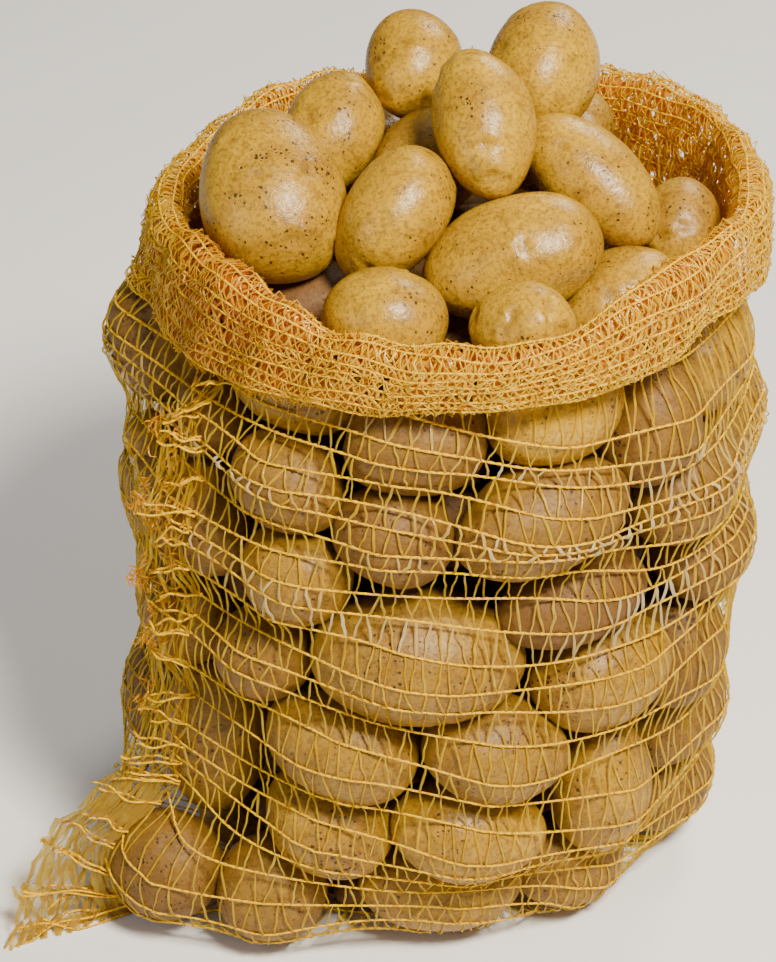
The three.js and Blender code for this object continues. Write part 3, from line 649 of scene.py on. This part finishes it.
# The polyethylene of the net, extruded yellow film: cords of slit film, satin, with painted orange shade in
# random patches for the shading of their chain's links, and tapes that let some light through and glint
# along their folds, with painted pale glints in patches, painted orange glow of light through the film and
# shade between its layers, and a painted pale sheen where the film is crinkled.
CORD_GOLD, CORD_PAINTED_SHADE = "#E8B600", "#A86000"
TAPE_GOLD, TAPE_PAINTED_GLINT, TAPE_PAINTED_GLOW = "#E8BC00", "#FFE84C", "#D87E00"
FILM_TINT, FILM_PAINTED_SHEEN = "#D8C48A", "#FFF3C8"
CORD_SHADE_MOTTLE, TAPE_GLINT_MOTTLE, FILM_THROUGH = 1.8 * MM, 6 * MM, 0.45
cord_yarn = new_material("polyethylene_chain_cord")
tape_film = new_material("polyethylene_slit_tape")
shade_and_glint_mottles = []
for material, size, detail, first, full, most in (
    (cord_yarn, CORD_SHADE_MOTTLE, 2.0, 0.5, 0.7, 0.9),
    (tape_film, TAPE_GLINT_MOTTLE, 3.0, 0.48, 0.7, 0.75),
):
    place = add_node(material, "TexCoord")["Object"]
    noise = add_node(material, "TexNoise", {"Vector": place, "Scale": 1 / size, "Detail": detail})
    span = {"Value": noise["Fac"], "From Min": first, "From Max": full, "To Max": most}
    shade_and_glint_mottles.append(add_node(material, "MapRange", span)["Result"])
# The cords' orange patches are painted shade of their chain's links.
colours = {6: to_linear(CORD_GOLD), 7: to_linear(CORD_PAINTED_SHADE)}
colour = add_node(cord_yarn, "Mix", {0: shade_and_glint_mottles[0], **colours}, data_type="RGBA")[2]
yarn = add_node(
    cord_yarn,
    "BsdfPrincipled",
    {"Base Color": colour, "Roughness": 0.55, "Specular IOR Level": 0.12},
)
add_node(cord_yarn, "OutputMaterial", {"Surface": yarn["BSDF"]})
glow_and_shade, clear, crisp_sheen = (
    add_node(tape_film, "Attribute", attribute_name=name)["Fac"]
    for name in ("glow_and_shade", "clear", "crisp_sheen")
)
# The tapes' pale patches are painted glints.
colour = to_linear(TAPE_GOLD)
for share, shade in ((shade_and_glint_mottles[1], TAPE_PAINTED_GLINT), (glow_and_shade, TAPE_PAINTED_GLOW), (crisp_sheen, FILM_PAINTED_SHEEN)):
    colour = add_node(tape_film, "Mix", {0: share, 6: colour, 7: to_linear(shade)}, data_type="RGBA")[2]
gloss = add_node(
    tape_film,
    "BsdfPrincipled",
    {"Base Color": colour, "Roughness": 0.17, "Specular IOR Level": 0.5},
)
glow = add_node(tape_film, "BsdfTranslucent", {"Color": colour})
film = add_node(tape_film, "MixShader", {0: FILM_THROUGH, 1: gloss["BSDF"], 2: glow["BSDF"]})
open_film = add_node(tape_film, "BsdfTransparent", {"Color": to_linear(FILM_TINT)})
film = add_node(tape_film, "MixShader", {0: clear, 1: film["Shader"], 2: open_film["BSDF"]})
add_node(tape_film, "OutputMaterial", {"Surface": film["Shader"]})
cords = add_piece("net_cords", cord_points, cord_faces, cord_yarn, "net", "net_sack")

# The tapes: flat slit film 2.3 mm wide, folded along its middle, that zigzags between each two cords about
# every 6 mm and is gathered into their stitches at both ends. In a few patches it is crinkled, with a
# painted pale sheen.
TAPE_SPACING, TAPE_WIDTH, TAPE_STATIONS, TAPE_SLACK = 5.9 * MM, 2.3 * MM, 5, 15.5 * MM
TAPE_SEED, TAPE_SCATTER, TAPE_SWINGS, TAPE_KINK = 600, 0.16, (0.15, 0.9), 0.35 * MM
TAPE_LEAN, TAPE_TURNS, TAPE_WIDTHS, TAPE_END = 0.55, 1.8, (0.75, 1.15), 0.62
TAPE_BULGE, BULGE_SHARES, WALL_CLEAR = 0.28, (0.2, 1.0), 0.32
CRISP_LEAST, CRISP_MOST, CRISP_WIDENING = 0.3, 0.6, 0.7
# A patch of painted sheen is the band it is in, the azimuth of its middle, its half width in degrees and
# its strength.
CRISP_PATCHES = (
    *((11, -14, 24, 1.0), (11, 36, 18, 0.9), (10, -30, 16, 0.8), (10, 42, 16, 1.0)),
    *((3, 46, 14, 0.8), (4, 47, 16, 0.8), (5, 50, 14, 0.7), (2, -18, 16, 0.5)),
)


def ribbons(path, outward, width, rng, bulge, twists=0.5, folds=(0.85, 1.2), kink=0.5 * MM):
    """Folded tapes along paths: three points across each, turned by a random twist, a little narrower at
    both ends, with small kinks, bowed off the net by what the tape is longer than its path."""
    count, stations = path.shape[:2]
    share = np.linspace(0, 1, stations)
    arch = np.sin(np.pi * share)
    across = unit_of(np.cross(unit_of(np.gradient(path, axis=1)), outward))
    lean = rng.normal(0, TAPE_LEAN, count)[:, None, None]
    path = path + (outward + lean * across) * (arch * bulge[:, None])[..., None]
    path = path + across * (kink * arch * rng.normal(0, 1, (count, stations)))[..., None]
    turn = rng.normal(0, 1, (count, 1))
    twist = twists * (turn + rng.normal(0, TAPE_TURNS, (count, 1)) * (share - 0.5))
    flat = np.cos(twist)[..., None] * across + np.sin(twist)[..., None] * outward
    proud = np.cos(twist)[..., None] * outward - np.sin(twist)[..., None] * across
    wide = 0.5 * width * rng.uniform(*TAPE_WIDTHS, count)[:, None]
    wide = wide * (TAPE_END + (1 - TAPE_END) * arch**0.5)
    fold = rng.uniform(*folds, count)[:, None]
    reach, rise = (wide * np.cos(fold))[..., None], (wide * np.sin(fold))[..., None]
    points = np.stack([path - flat * reach, path + proud * rise, path + flat * reach], axis=2)
    points[..., 2] = np.maximum(points[..., 2], LEAST_HEIGHT)
    index = np.arange(points[..., 0].size).reshape(points.shape[:3])
    corners = [index[:, 1:, :-1], index[:, 1:, 1:], index[:, :-1, 1:], index[:, :-1, :-1]]
    return points.reshape(-1, 3), [np.stack(corners, axis=-1).reshape(-1, 4)]


def spare_of(path):
    """How much longer each tape is than the straight line between its ends, or nothing."""
    return np.maximum(TAPE_SLACK - np.linalg.norm(path[:, -1] - path[:, 0], axis=1), 0)


def band_tapes(k, rng):
    """The tapes between cord k and the one below it: legs that lean one way and then the other. Where the
    cords crowd, and in the patches, they are wider and crinkled, with a painted pale sheen, by a share
    given for each point."""
    upper, _ = on_net(azimuths, runs[k])
    length = np.linalg.norm(np.roll(upper, -1, axis=0) - upper, axis=1).sum()
    count = 2 * int(length / TAPE_SPACING / 2)
    step = 360 / count
    start = (np.arange(count) + rng.normal(0, TAPE_SCATTER, count)) * step - 180
    swing = np.where(np.arange(count) % 2, -1, 1) * step * rng.uniform(*TAPE_SWINGS, count)
    share = np.linspace(0, 1, TAPE_STATIONS)
    azimuth = start[:, None] + swing[:, None] * (share - 0.5)
    run = run_at(k, azimuth) * (1 - share) + run_at(k + 1, azimuth) * share
    path, outward = on_net(azimuth, run)
    spare = spare_of(path)
    bulge = TAPE_BULGE * spare * rng.uniform(*BULGE_SHARES, count)
    slack = np.interp(spare / TAPE_SLACK, (CRISP_LEAST, CRISP_MOST), (0, 1))
    sheen = [
        most * np.exp(-(((start - middle) / half) ** 2))
        for band, middle, half, most in CRISP_PATCHES
        if band == k
    ]
    crisp_sheen = np.max([slack, *sheen], axis=0) * rng.uniform(0, 1, count)
    width = TAPE_WIDTH * (1 + CRISP_WIDENING * crisp_sheen[:, None])
    lot = ribbons(path, outward, width, rng, bulge, kink=TAPE_KINK)
    return lot, np.repeat(crisp_sheen, 3 * TAPE_STATIONS)


def keep(parts, looks, part, glow_and_shade, clear, crisp_sheen=0.0):
    """Adds a lot of tapes to a list, with the painted orange glow and shade, the clearness and the painted
    sheen of the film at each of its points.
    """
    parts.append(part)
    looks.append(np.stack(np.broadcast_arrays(glow_and_shade, np.full(len(part[0]), clear), crisp_sheen)))


def add_tapes(name, parts, looks):
    """One piece of all the lots of tapes in a list, with their looks kept on its points."""
    kept = dict(zip(("glow_and_shade", "clear", "crisp_sheen"), np.concatenate(looks, axis=1)))
    return add_piece(name, *join(parts), tape_film, "net", "net_sack", **kept)


rng = np.random.default_rng(TAPE_SEED)
tape_parts, tape_looks = [], []
for k in range(len(runs) - 1):
    lot, crisp_sheen = band_tapes(k, rng)
    keep(tape_parts, tape_looks, lot, 0.0, WALL_CLEAR, crisp_sheen)

# The cuff: the mouth of the same net, lined, turned out over the rim and down, in crumpled layers that lie
# close together, so that it looks dense: golden outside, with painted orange glow of light through the film
# on its inner side and in a patch on the left, and painted orange shade in its deeper layers. Its hem is
# frayed.
RIM_AZIMUTHS = (-180, -120, -90, -60, -40, -20, 0, 20, 30, 40, 60, 90, 130, 180)
RIM_CRESTS = np.array([390, 386, 384, 396, 392, 386, 383, 390, 402, 406, 410, 404, 394, 390]) * MM
RIM_HEMS = np.array([339, 339, 344, 337, 343, 350, 355, 361, 364, 364, 371, 350, 339, 339]) * MM
RIM_FEET = np.array([333, 333, 340, 356, 366, 366, 366, 366, 366, 364, 361, 343, 333, 333]) * MM
RIM_ROUNDING, LINING_RISE, INNER_ROWS = 0.12, 4 * MM, 4
CUFF_OUTS = np.array([-1, 0, 1, 5, 10, 14, 15.5, 16.5, 13.5]) * MM
CREST_UPS, HEM_TURN = np.array([-9, -1, -2, -9]) * MM, 4 * MM
CUFF_SEED, CUFF_CLEARANCE, CUFF_ROWS, PROFILE_PASSES = 700, 3.5 * MM, 48, 4
RIPPLE_LEAST, RIPPLE_RISES, CRUMPLE_OUT, CRUMPLE_UP = 3, (2, 9), 0.7, 0.6
# A layer is how far out it lies and how crumpled it is in mm, the share of its cords that show, its tapes'
# width in mm, how many there are round it, their folds, how much painted orange shade they take and how
# loose.
CUFF_LAYERS = (
    (2.6, 2.8, 1.0, 1.4, 560, (0.5, 1.0), 0.0, 1.0),
    (0.6, 2.8, 0.0, 2.6, 170, (0.1, 0.5), 0.4, 0.2),
    (-1.2, 2.8, 0.0, 5.0, 140, (0.0, 0.2), 0.75, 0.0),
)
CUFF_CORDS, CUFF_CORD_STEPS, CUFF_CORD_THICKNESS = 18, 480, 1.2 * MM
CORD_MARGIN, ROW_SCATTER, ROW_WANDER, ROW_RIPPLES, ROW_TURNS = 0.3, 0.25, 0.4, 6, 14
CUFF_STATIONS, CUFF_CLEAR, CUFF_SCATTER, CUFF_SWINGS = 3, 0.1, 0.3, (1.3, 0.7)
CUFF_BULGE, CUFF_TWIST, LOOSE_TWIST = 1.2 * MM, 0.1, 0.3
INSIDE_FADE, INSIDE_GLOW = 1.1, 0.35
FLUSH_AZIMUTH, FLUSH_WIDTH, FLUSH_GLOW, FLUSH_LOSS = -50, 24, 0.75, 0.5
FRAY_COUNT, FRAY_LENGTH, FRAY_WIDTH, FRAY_SHARES = 70, 3.5 * MM, 1.6 * MM, (0.4, 1.1)
FRAY_EDGES = ((CUFF_ROWS - 2, -0.6), (0.55 * CUFF_ROWS, 0.9))
FRAY_SCATTER, FRAY_OUT, FRAY_SPREAD, FRAY_GLOW = 1.2, 0.4, 0.5, 0.1


def ripples(rows, rng, count=9, most=26):
    """A crumpled height over a grid that closes round the sack: a few random waves, of mean size 1."""
    share = np.linspace(0, 1, rows)[:, None]
    total = np.zeros((rows, COLUMNS))
    for _ in range(count):
        waves, rise = rng.integers(RIPPLE_LEAST, most), rng.uniform(*RIPPLE_RISES)
        total += np.sin(waves * turns + rise * share + rng.uniform(0, PHASES))
    return total / np.sqrt(count / 2)


def around_rim(values):
    """A rim table at every degree, rounded off between its knots."""
    return rounded(np.interp(azimuths, RIM_AZIMUTHS, values), RIM_ROUNDING)


def cuff_surface(offset, crumple, rng):
    """The cuff's grid from the lining's foot up over the crest and down to the hem, clear of the wall
    outside, moved out by a layer's offset and crumpled, with its rows evenly spaced along the mean profile.
    Its own directions point inwards, because it ends outside."""
    crest, hem = around_rim(RIM_CRESTS), around_rim(RIM_HEMS)
    foot, neck = around_rim(RIM_FEET), np.full(COLUMNS, NECK_HEIGHT + LINING_RISE)
    turned = [crest + up for up in CREST_UPS]
    height = np.stack([foot, neck, *turned, (turned[-1] + hem) / 2, hem, hem + HEM_TURN])
    level = drops == 0
    wall_radius = np.stack(
        [np.interp(height[:, j], heights[level], lengths[level, j]) for j in range(COLUMNS)], axis=1
    )
    radius = lengths[-1] + CUFF_OUTS[:, None]
    radius[0] = wall_radius[0] + CUFF_OUTS[0]
    radius[INNER_ROWS:] = np.maximum(radius, wall_radius + CUFF_CLEARANCE)[INNER_ROWS:]
    profile = np.stack([radius, height], axis=2)
    travel = np.linalg.norm(np.diff(profile, axis=0), axis=2).mean(axis=1).cumsum()
    travel = np.concatenate([[0], travel])
    place = np.interp(np.linspace(0, travel[-1], CUFF_ROWS), travel, np.arange(len(profile)))
    low = np.minimum(place.astype(int), len(profile) - 2)
    share = (place - low)[:, None, None]
    fine = profile[low] * (1 - share) + profile[low + 1] * share
    for _ in range(PROFILE_PASSES):
        fine[1:-1] = 0.25 * fine[:-2] + 0.5 * fine[1:-1] + 0.25 * fine[2:]
    points = headings[None] * fine[..., :1]
    points[..., 0] += lean_at(fine[..., 1])
    points[..., 2] = fine[..., 1]
    edge = np.linspace(0, 1, CUFF_ROWS)[:, None] ** 0.5
    move = offset * MM + crumple * MM * CRUMPLE_OUT * ripples(CUFF_ROWS, rng) * edge
    points = points - directions_of(points, True) * move[..., None]
    points[..., 2] += crumple * MM * CRUMPLE_UP * ripples(CUFF_ROWS, rng) * edge
    return points


cuff_cords, cuff_tapes, cuff_looks = [], [], []
share = np.linspace(0, 1, CUFF_STATIONS)
around = np.arange(CUFF_CORD_STEPS) * COLUMNS / CUFF_CORD_STEPS
for layer, sizes in enumerate(CUFF_LAYERS):
    offset, crumple, cord_share, tape_width, tape_count, folds, orange, loose = sizes
    rng = np.random.default_rng(CUFF_SEED + layer)
    cuff_sample = sampler(cuff_surface(offset, crumple, np.random.default_rng(CUFF_SEED)), True)
    rows = np.linspace(CORD_MARGIN, CUFF_ROWS - 1 - CORD_MARGIN, CUFF_CORDS)
    rows = (rows + rng.normal(0, ROW_SCATTER, CUFF_CORDS))[:, None]
    wander = np.stack([ripples(1, rng, ROW_RIPPLES, ROW_TURNS)[0] for _ in range(CUFF_CORDS)])
    rows = rows + ROW_WANDER * wander
    near = np.round(around).astype(int) % COLUMNS
    paths, inward = cuff_sample(rows[:, near], around[None] + 0 * rows[:, :1])
    shown = rng.uniform(0, 1, CUFF_CORDS) < cord_share
    if shown.any():
        cuff_cords.append(tubes(paths[shown], -inward[shown], CUFF_CORD_THICKNESS, True))
    kept = (cuff_tapes, cuff_looks) if layer == 0 else (tape_parts, tape_looks)
    for k in range(CUFF_CORDS - 1):
        start = (np.arange(tape_count) + rng.normal(0, CUFF_SCATTER, tape_count)) * COLUMNS / tape_count
        swing = np.where(np.arange(tape_count) % 2, -1, 1) * rng.normal(*CUFF_SWINGS, tape_count)
        column = start[:, None] + swing[:, None] * (share - 0.5)
        near = np.round(column).astype(int) % COLUMNS
        row = rows[k][near] * (1 - share) + rows[k + 1][near] * share
        path, inward = cuff_sample(row, column)
        bulge = loose * np.abs(rng.normal(0, CUFF_BULGE, tape_count))
        twists = CUFF_TWIST + LOOSE_TWIST * loose
        lot = ribbons(path, -inward, tape_width * MM, rng, bulge, twists, folds)
        # Painted orange glow of light through the film on the inner rows and in a patch on the left, less
        # on loose tapes.
        inside = np.clip(INSIDE_FADE * (1 - 2 * k / CUFF_CORDS), 0.0, INSIDE_GLOW)
        flush = FLUSH_GLOW * np.exp(-(((start - 180 - FLUSH_AZIMUTH) / FLUSH_WIDTH) ** 2))
        flush = flush * (1 - FLUSH_LOSS * loose)
        glow_and_shade = np.repeat(np.clip(orange + inside + flush, 0, 1), 3 * CUFF_STATIONS)
        keep(*kept, lot, glow_and_shade, CUFF_CLEAR)
    for edge_row, up in FRAY_EDGES:
        column = rng.uniform(0, COLUMNS, FRAY_COUNT)
        root, inward = cuff_sample(edge_row + rng.normal(0, FRAY_SCATTER, FRAY_COUNT), column)
        way = -FRAY_OUT * inward + rng.normal(0, FRAY_SPREAD, (FRAY_COUNT, 3)) + [0, 0, up]
        way = way * FRAY_LENGTH * rng.uniform(*FRAY_SHARES, FRAY_COUNT)[:, None]
        path = root[:, None] + way[:, None] * share[:, None]
        inward = np.repeat(inward[:, None], CUFF_STATIONS, axis=1)
        lot = ribbons(path, inward, FRAY_WIDTH, rng, np.zeros(FRAY_COUNT))
        # The frayed ends get a little painted orange glow.
        keep(cuff_tapes, cuff_looks, lot, FRAY_GLOW, CUFF_CLEAR)
cuff_cord_piece = add_piece("cuff_cords", *join(cuff_cords), cord_yarn, "net", "net_sack")
cuff_tape_piece = add_tapes("cuff_tapes", cuff_tapes, cuff_looks)

# The side seam: the two edges of the net sewn together, standing out as a crumpled flap of two layers
# from the cuff to the floor, where its foot spreads into the flat ear of the sack's corner.
# Each row of the table is a height, the seam's azimuth there and the flap's edge: azimuth, radius, rise.
SEAM_TABLE = np.array(
    [
        [1, -57, -59, 262, 0],
        [5, -57, -60.5, 257, 5],
        [11, -57, -61.6, 251, 13],
        [24, -57, -62.4, 241, 16],
        [36, -57, -62.8, 231, 18],
        [46, -57, -62.3, 226, 18],
        [56, -56, -61, 221, 14],
        [66, -55, -60, 209, 14],
        [80, -53.5, -59.5, 201, 10],
        [92, -52, -59, 193, 5],
        [112, -51, -58.5, 186, 2],
        [150, -50, -57, 178, -3],
        [185, -49, -55.5, 178, 0],
        [220, -48, -54.5, 180, -4],
        [270, -48.5, -55, 176, 0],
        [298, -50, -55.5, 168, -3],
        [315, -53.5, -56.5, 162, -3],
        [330, -50, -52, 156, -3],
        [346, -45, -46.5, 150, -3],
    ]
)
SEAM_HEIGHTS, EDGE_RADII, EDGE_RISES = SEAM_TABLE.T[[0, 3, 4]] * MM
SEAM_AZIMUTHS, EDGE_AZIMUTHS = SEAM_TABLE.T[[1, 2]]
SEAM_FOOT, SEAM_END, SEAM_MIDDLE, EAR_TOP = 11 * MM, 4 * MM, -50.0, 98 * MM
SEAM_SEED, SEAM_ACROSS, SEAM_STEP, SEAM_LAYERS, SEAM_STUB = 800, 14, 2 * MM, (-1.3, 1.3), 1.08
SEAM_CRUMPLE, SEAM_STAND, SEAM_WAVES, WAVES_MEAN = 2.6 * MM, 6 * MM, 7, 1.9
SEAM_TURNS, SEAM_LEANS = (60, 260), (1, 6)
GATHER_PITCH, GATHER_PULL, GATHER_STAND = 43 * MM, 5.8 * MM, 3.5 * MM
EAR_CORDS, SEAM_CORD_STEPS = np.array([88, 62, 36, 17, 6, 1]) * MM, 14
SEAM_REACHES, SEAM_DROOP, SEAM_WANDER, WANDER_TURN = (0.6, 1.0), 1.6, 0.5, 9
# Tapes are given by their spacing, width and folds and by how clear their film is and how much painted
# sheen it has.
FLAP_TAPES = (4.4 * MM, 2.4 * MM, (0.6, 1.2), 0.55, 0.0)
EAR_TAPES = (3.2 * MM, 4.0 * MM, (0.2, 1.1), 0.66, 0.1)
SEAM_LEAST, SEAM_SCATTER, SEAM_FILL, SEAM_SWING, SEAM_TWIST = 3, 0.2, 0.9, 0.9, 0.4
SEAM_BULGE, SEAM_BULGES = 0.25, (0.4, 0.7)
TUFT_SEED, TUFT_COUNT, TUFT_MOST, TUFT_END, TUFT_SIZE = 810, 230, 290 * MM, 4, 6 * MM
TUFT_WIDTH, TUFT_SPREAD, TUFT_EDGING, TUFT_BULGE, TUFT_GLOW = 1.7 * MM, 0.6, 0.4, 0.5, 0.6


def at_height(azimuth, height):
    """The net's points at azimuths and true heights: the run is found where the net's profile has them."""
    profile, _ = on_net(azimuth[:, None], np.repeat(net_runs[None], len(azimuth), axis=0))
    rising = np.maximum.accumulate(profile[..., 2], axis=1) + 1e-7 * np.arange(len(net_runs))
    run = np.array([np.interp(h, r, net_runs) for h, r in zip(height, rising)])
    return on_net(azimuth, run)[0]


def seam_surface(layer, rng):
    """The flap's grid: straight from the net's point at each height to the flap's edge, whose azimuth,
    radius and rise are tabled, gathered into bunches, moved off by its layer and crumpled to its edge."""
    height = np.arange(SEAM_HEIGHTS[0], SEAM_HEIGHTS[-1], SEAM_STEP)
    azimuth = np.interp(height, SEAM_HEIGHTS, SEAM_AZIMUTHS)
    root = at_height(azimuth, np.maximum(height, SEAM_FOOT))
    root[:, 2] = height
    turn = np.radians(np.interp(height, SEAM_HEIGHTS, EDGE_AZIMUTHS))
    outward = np.stack([np.sin(turn), -np.cos(turn), 0 * turn], axis=1)
    radius = np.interp(height, SEAM_HEIGHTS, EDGE_RADII)
    rise = np.interp(height, SEAM_HEIGHTS, EDGE_RISES)
    bunch = 2 * np.pi * np.maximum(height - EAR_TOP, 0) / GATHER_PITCH
    radius = radius + GATHER_STAND * np.cos(bunch) * (bunch > 0)
    rise = rise - GATHER_PULL * np.sin(bunch)
    wall_point = at_height(np.degrees(turn), np.maximum(height + rise, SEAM_FOOT))
    radius = np.maximum(radius, np.linalg.norm(wall_point[:, :2], axis=1) + SEAM_STAND)
    edge = outward * radius[:, None]
    edge[:, 2] = height + rise
    facing = unit_of(np.cross(edge - root, [0, 0, 1]))
    share = np.linspace(0, SEAM_STUB, SEAM_ACROSS)
    points = root[:, None] * (1 - share[:, None]) + edge[:, None] * share[:, None]
    waves = np.zeros((len(height), SEAM_ACROSS))
    for _ in range(SEAM_WAVES):
        phase = height[:, None] * rng.uniform(*SEAM_TURNS) + share * rng.uniform(*SEAM_LEANS)
        waves += np.sin(phase + rng.uniform(0, PHASES))
    move = layer * MM + SEAM_CRUMPLE * waves / WAVES_MEAN * share
    points = points + facing[:, None] * move[..., None]
    points[..., 2] = np.maximum(points[..., 2], FLOOR_LIFT)
    return points


middle = np.full(len(runs), SEAM_MIDDLE)
at_seam = on_net(middle, run_at(np.arange(len(runs)), middle))[0][:, 2]
at_seam = at_seam[(at_seam > SEAM_FOOT) & (at_seam < SEAM_HEIGHTS[-1] - SEAM_END)]
at_seam = np.sort(np.append(at_seam, EAR_CORDS))[::-1]
rows = (at_seam - SEAM_HEIGHTS[0]) / SEAM_STEP
reached = np.linspace(0, 1, SEAM_CORD_STEPS)
share = np.linspace(0, 1, TAPE_STATIONS)
seam_cords = []
for layer, shift in enumerate(SEAM_LAYERS):
    rng = np.random.default_rng(SEAM_SEED + layer)
    flap = seam_surface(shift, rng)
    seam_sample = sampler(flap, False)
    reach = rng.uniform(*SEAM_REACHES, len(rows))[:, None]
    droop = rng.normal(0, SEAM_DROOP, len(rows))[:, None] * reached**2
    starts = rng.uniform(0, PHASES, len(rows))[:, None]
    droop = droop + SEAM_WANDER * np.sin(WANDER_TURN * reached + starts)
    paths, outward = seam_sample(rows[:, None] + droop, reached * (SEAM_ACROSS - 1) * reach)
    seam_cords.append(tubes(paths, outward, CORD_THICKNESS, False))
    for k in range(len(rows) - 1):
        spacing, wide, folds, clear, crisp_sheen = EAR_TAPES if at_seam[k] < EAR_TOP else FLAP_TAPES
        count = max(int(np.linalg.norm(paths[k, -1] - paths[k, 0]) / spacing), SEAM_LEAST)
        start = (np.arange(count) + 0.5 + rng.normal(0, SEAM_SCATTER, count)) / count
        swing = rng.normal(0, SEAM_SWING, count)
        column = SEAM_FILL * (SEAM_ACROSS - 1) * start[:, None] + swing[:, None] * (share - 0.5)
        row = rows[k] * (1 - share) + rows[k + 1] * share
        path, outward = seam_sample(row[None] + 0 * column, column)
        bulge = SEAM_BULGE * spare_of(path) * rng.normal(*SEAM_BULGES, count)
        lot = ribbons(path, outward, wide, rng, bulge, SEAM_TWIST, folds)
        keep(tape_parts, tape_looks, lot, 0.0, clear, crisp_sheen)
rng = np.random.default_rng(TUFT_SEED)
row = rng.triangular(EAR_TOP / SEAM_STEP, TUFT_MOST / SEAM_STEP, len(flap) - TUFT_END, TUFT_COUNT)
root, outward = seam_sample(row, rng.uniform(0, 1, TUFT_COUNT) ** TUFT_EDGING * (SEAM_ACROSS - 1))
way = rng.normal(0, TUFT_SPREAD, (TUFT_COUNT, 3)) * TUFT_SIZE
path = root[:, None] + way[:, None] * (share - 0.5)[:, None]
outward = np.repeat(outward[:, None], TAPE_STATIONS, axis=1)
bulge = rng.normal(0, TUFT_BULGE * TUFT_SIZE, TUFT_COUNT)
# The tufts get painted orange glow of light through their bunched film.
keep(tape_parts, tape_looks, ribbons(path, outward, TUFT_WIDTH, rng, bulge), TUFT_GLOW, CUFF_CLEAR)
seam_cord_piece = add_piece("seam_cords", *join(seam_cords), cord_yarn, "net", "net_sack")

# The knitted sheet: the tapes of the wall, of the cuff's inner layers and of the seam, one piece, about
# 1.04 m round and 0.8 m long when flat, with yarn over about a third of that. The cords and the cuff's
# outer layer are knitted into it.
tapes = add_tapes("net_tapes", tape_parts, tape_looks)

# The floor and the light: a plain pale floor, a strong soft lamp from the upper right of the front, a weak
# one from the left, one from behind that lights the edges, and a dim pale sky.
FLOOR_COLOUR, FLOOR_SIZE = "#F4F2EE", 60.0
SKY_COLOUR, SKY_STRENGTH = "#EAF1FF", 0.14
floor_paint = new_material("pale_studio_floor")
paint = add_node(floor_paint, "BsdfPrincipled", {"Base Color": to_linear(FLOOR_COLOUR), "Roughness": 0.9})
add_node(floor_paint, "OutputMaterial", {"Surface": paint["BSDF"]})
floor_mesh = bpy.data.meshes.new("floor")
side = FLOOR_SIZE / 2
floor_mesh.from_pydata(
    [(-side, -side, 0), (side, -side, 0), (side, side, 0), (-side, side, 0)], [], [(0, 1, 2, 3)]
)
floor_mesh.materials.append(floor_paint)
floor = bpy.data.objects.new("floor", floor_mesh)
bpy.context.scene.collection.objects.link(floor)
world = bpy.data.worlds.new("pale_sky")
world.use_nodes = True
sky = world.node_tree.nodes["Background"].inputs
sky["Color"].default_value = to_linear(SKY_COLOUR)
sky["Strength"].default_value = SKY_STRENGTH
bpy.context.scene.world = world
AIM = Vector((-0.021, 0.0, 0.212))
for name, spot, size, watts, shade in (
    ("lamp_right", (0.62, -1.08, 1.88), 0.5, 98.0, "#FFF7E8"),
    ("lamp_left", (-1.3, -1.1, 0.9), 1.2, 7.0, "#DCE8FF"),
    ("lamp_behind", (0.75, 1.35, 1.6), 0.9, 26.0, "#FFF7E8"),
):
    lamp = bpy.data.lights.new(name, "AREA")
    lamp.shape, lamp.size, lamp.energy, lamp.color = "DISK", size, watts, to_linear(shade)[:3]
    lamp_object = bpy.data.objects.new(name, lamp)
    lamp_object.location = spot
    lamp_object.rotation_mode = "QUATERNION"
    lamp_object.rotation_quaternion = (AIM - Vector(spot)).to_track_quat("-Z", "Y")
    bpy.context.scene.collection.objects.link(lamp_object)

# The camera: in front of the sack, 34 degrees above level, 1.8 m from its middle.
CAMERA_DISTANCE, CAMERA_SENSOR, CAMERA_LENS = 1.8, 36.0, 126.4
camera_data = bpy.data.cameras.new("camera")
camera_data.sensor_width, camera_data.lens = CAMERA_SENSOR, CAMERA_LENS
camera = bpy.data.objects.new("camera", camera_data)
back = Vector((0, -np.cos(SIGHT_RISE), np.sin(SIGHT_RISE)))
camera.location = AIM + back * CAMERA_DISTANCE
camera.rotation_mode = "QUATERNION"
camera.rotation_quaternion = (-back).to_track_quat("-Z", "Y")
bpy.context.scene.collection.objects.link(camera)
bpy.context.scene.camera = camera

bpy.context.view_layer.update()
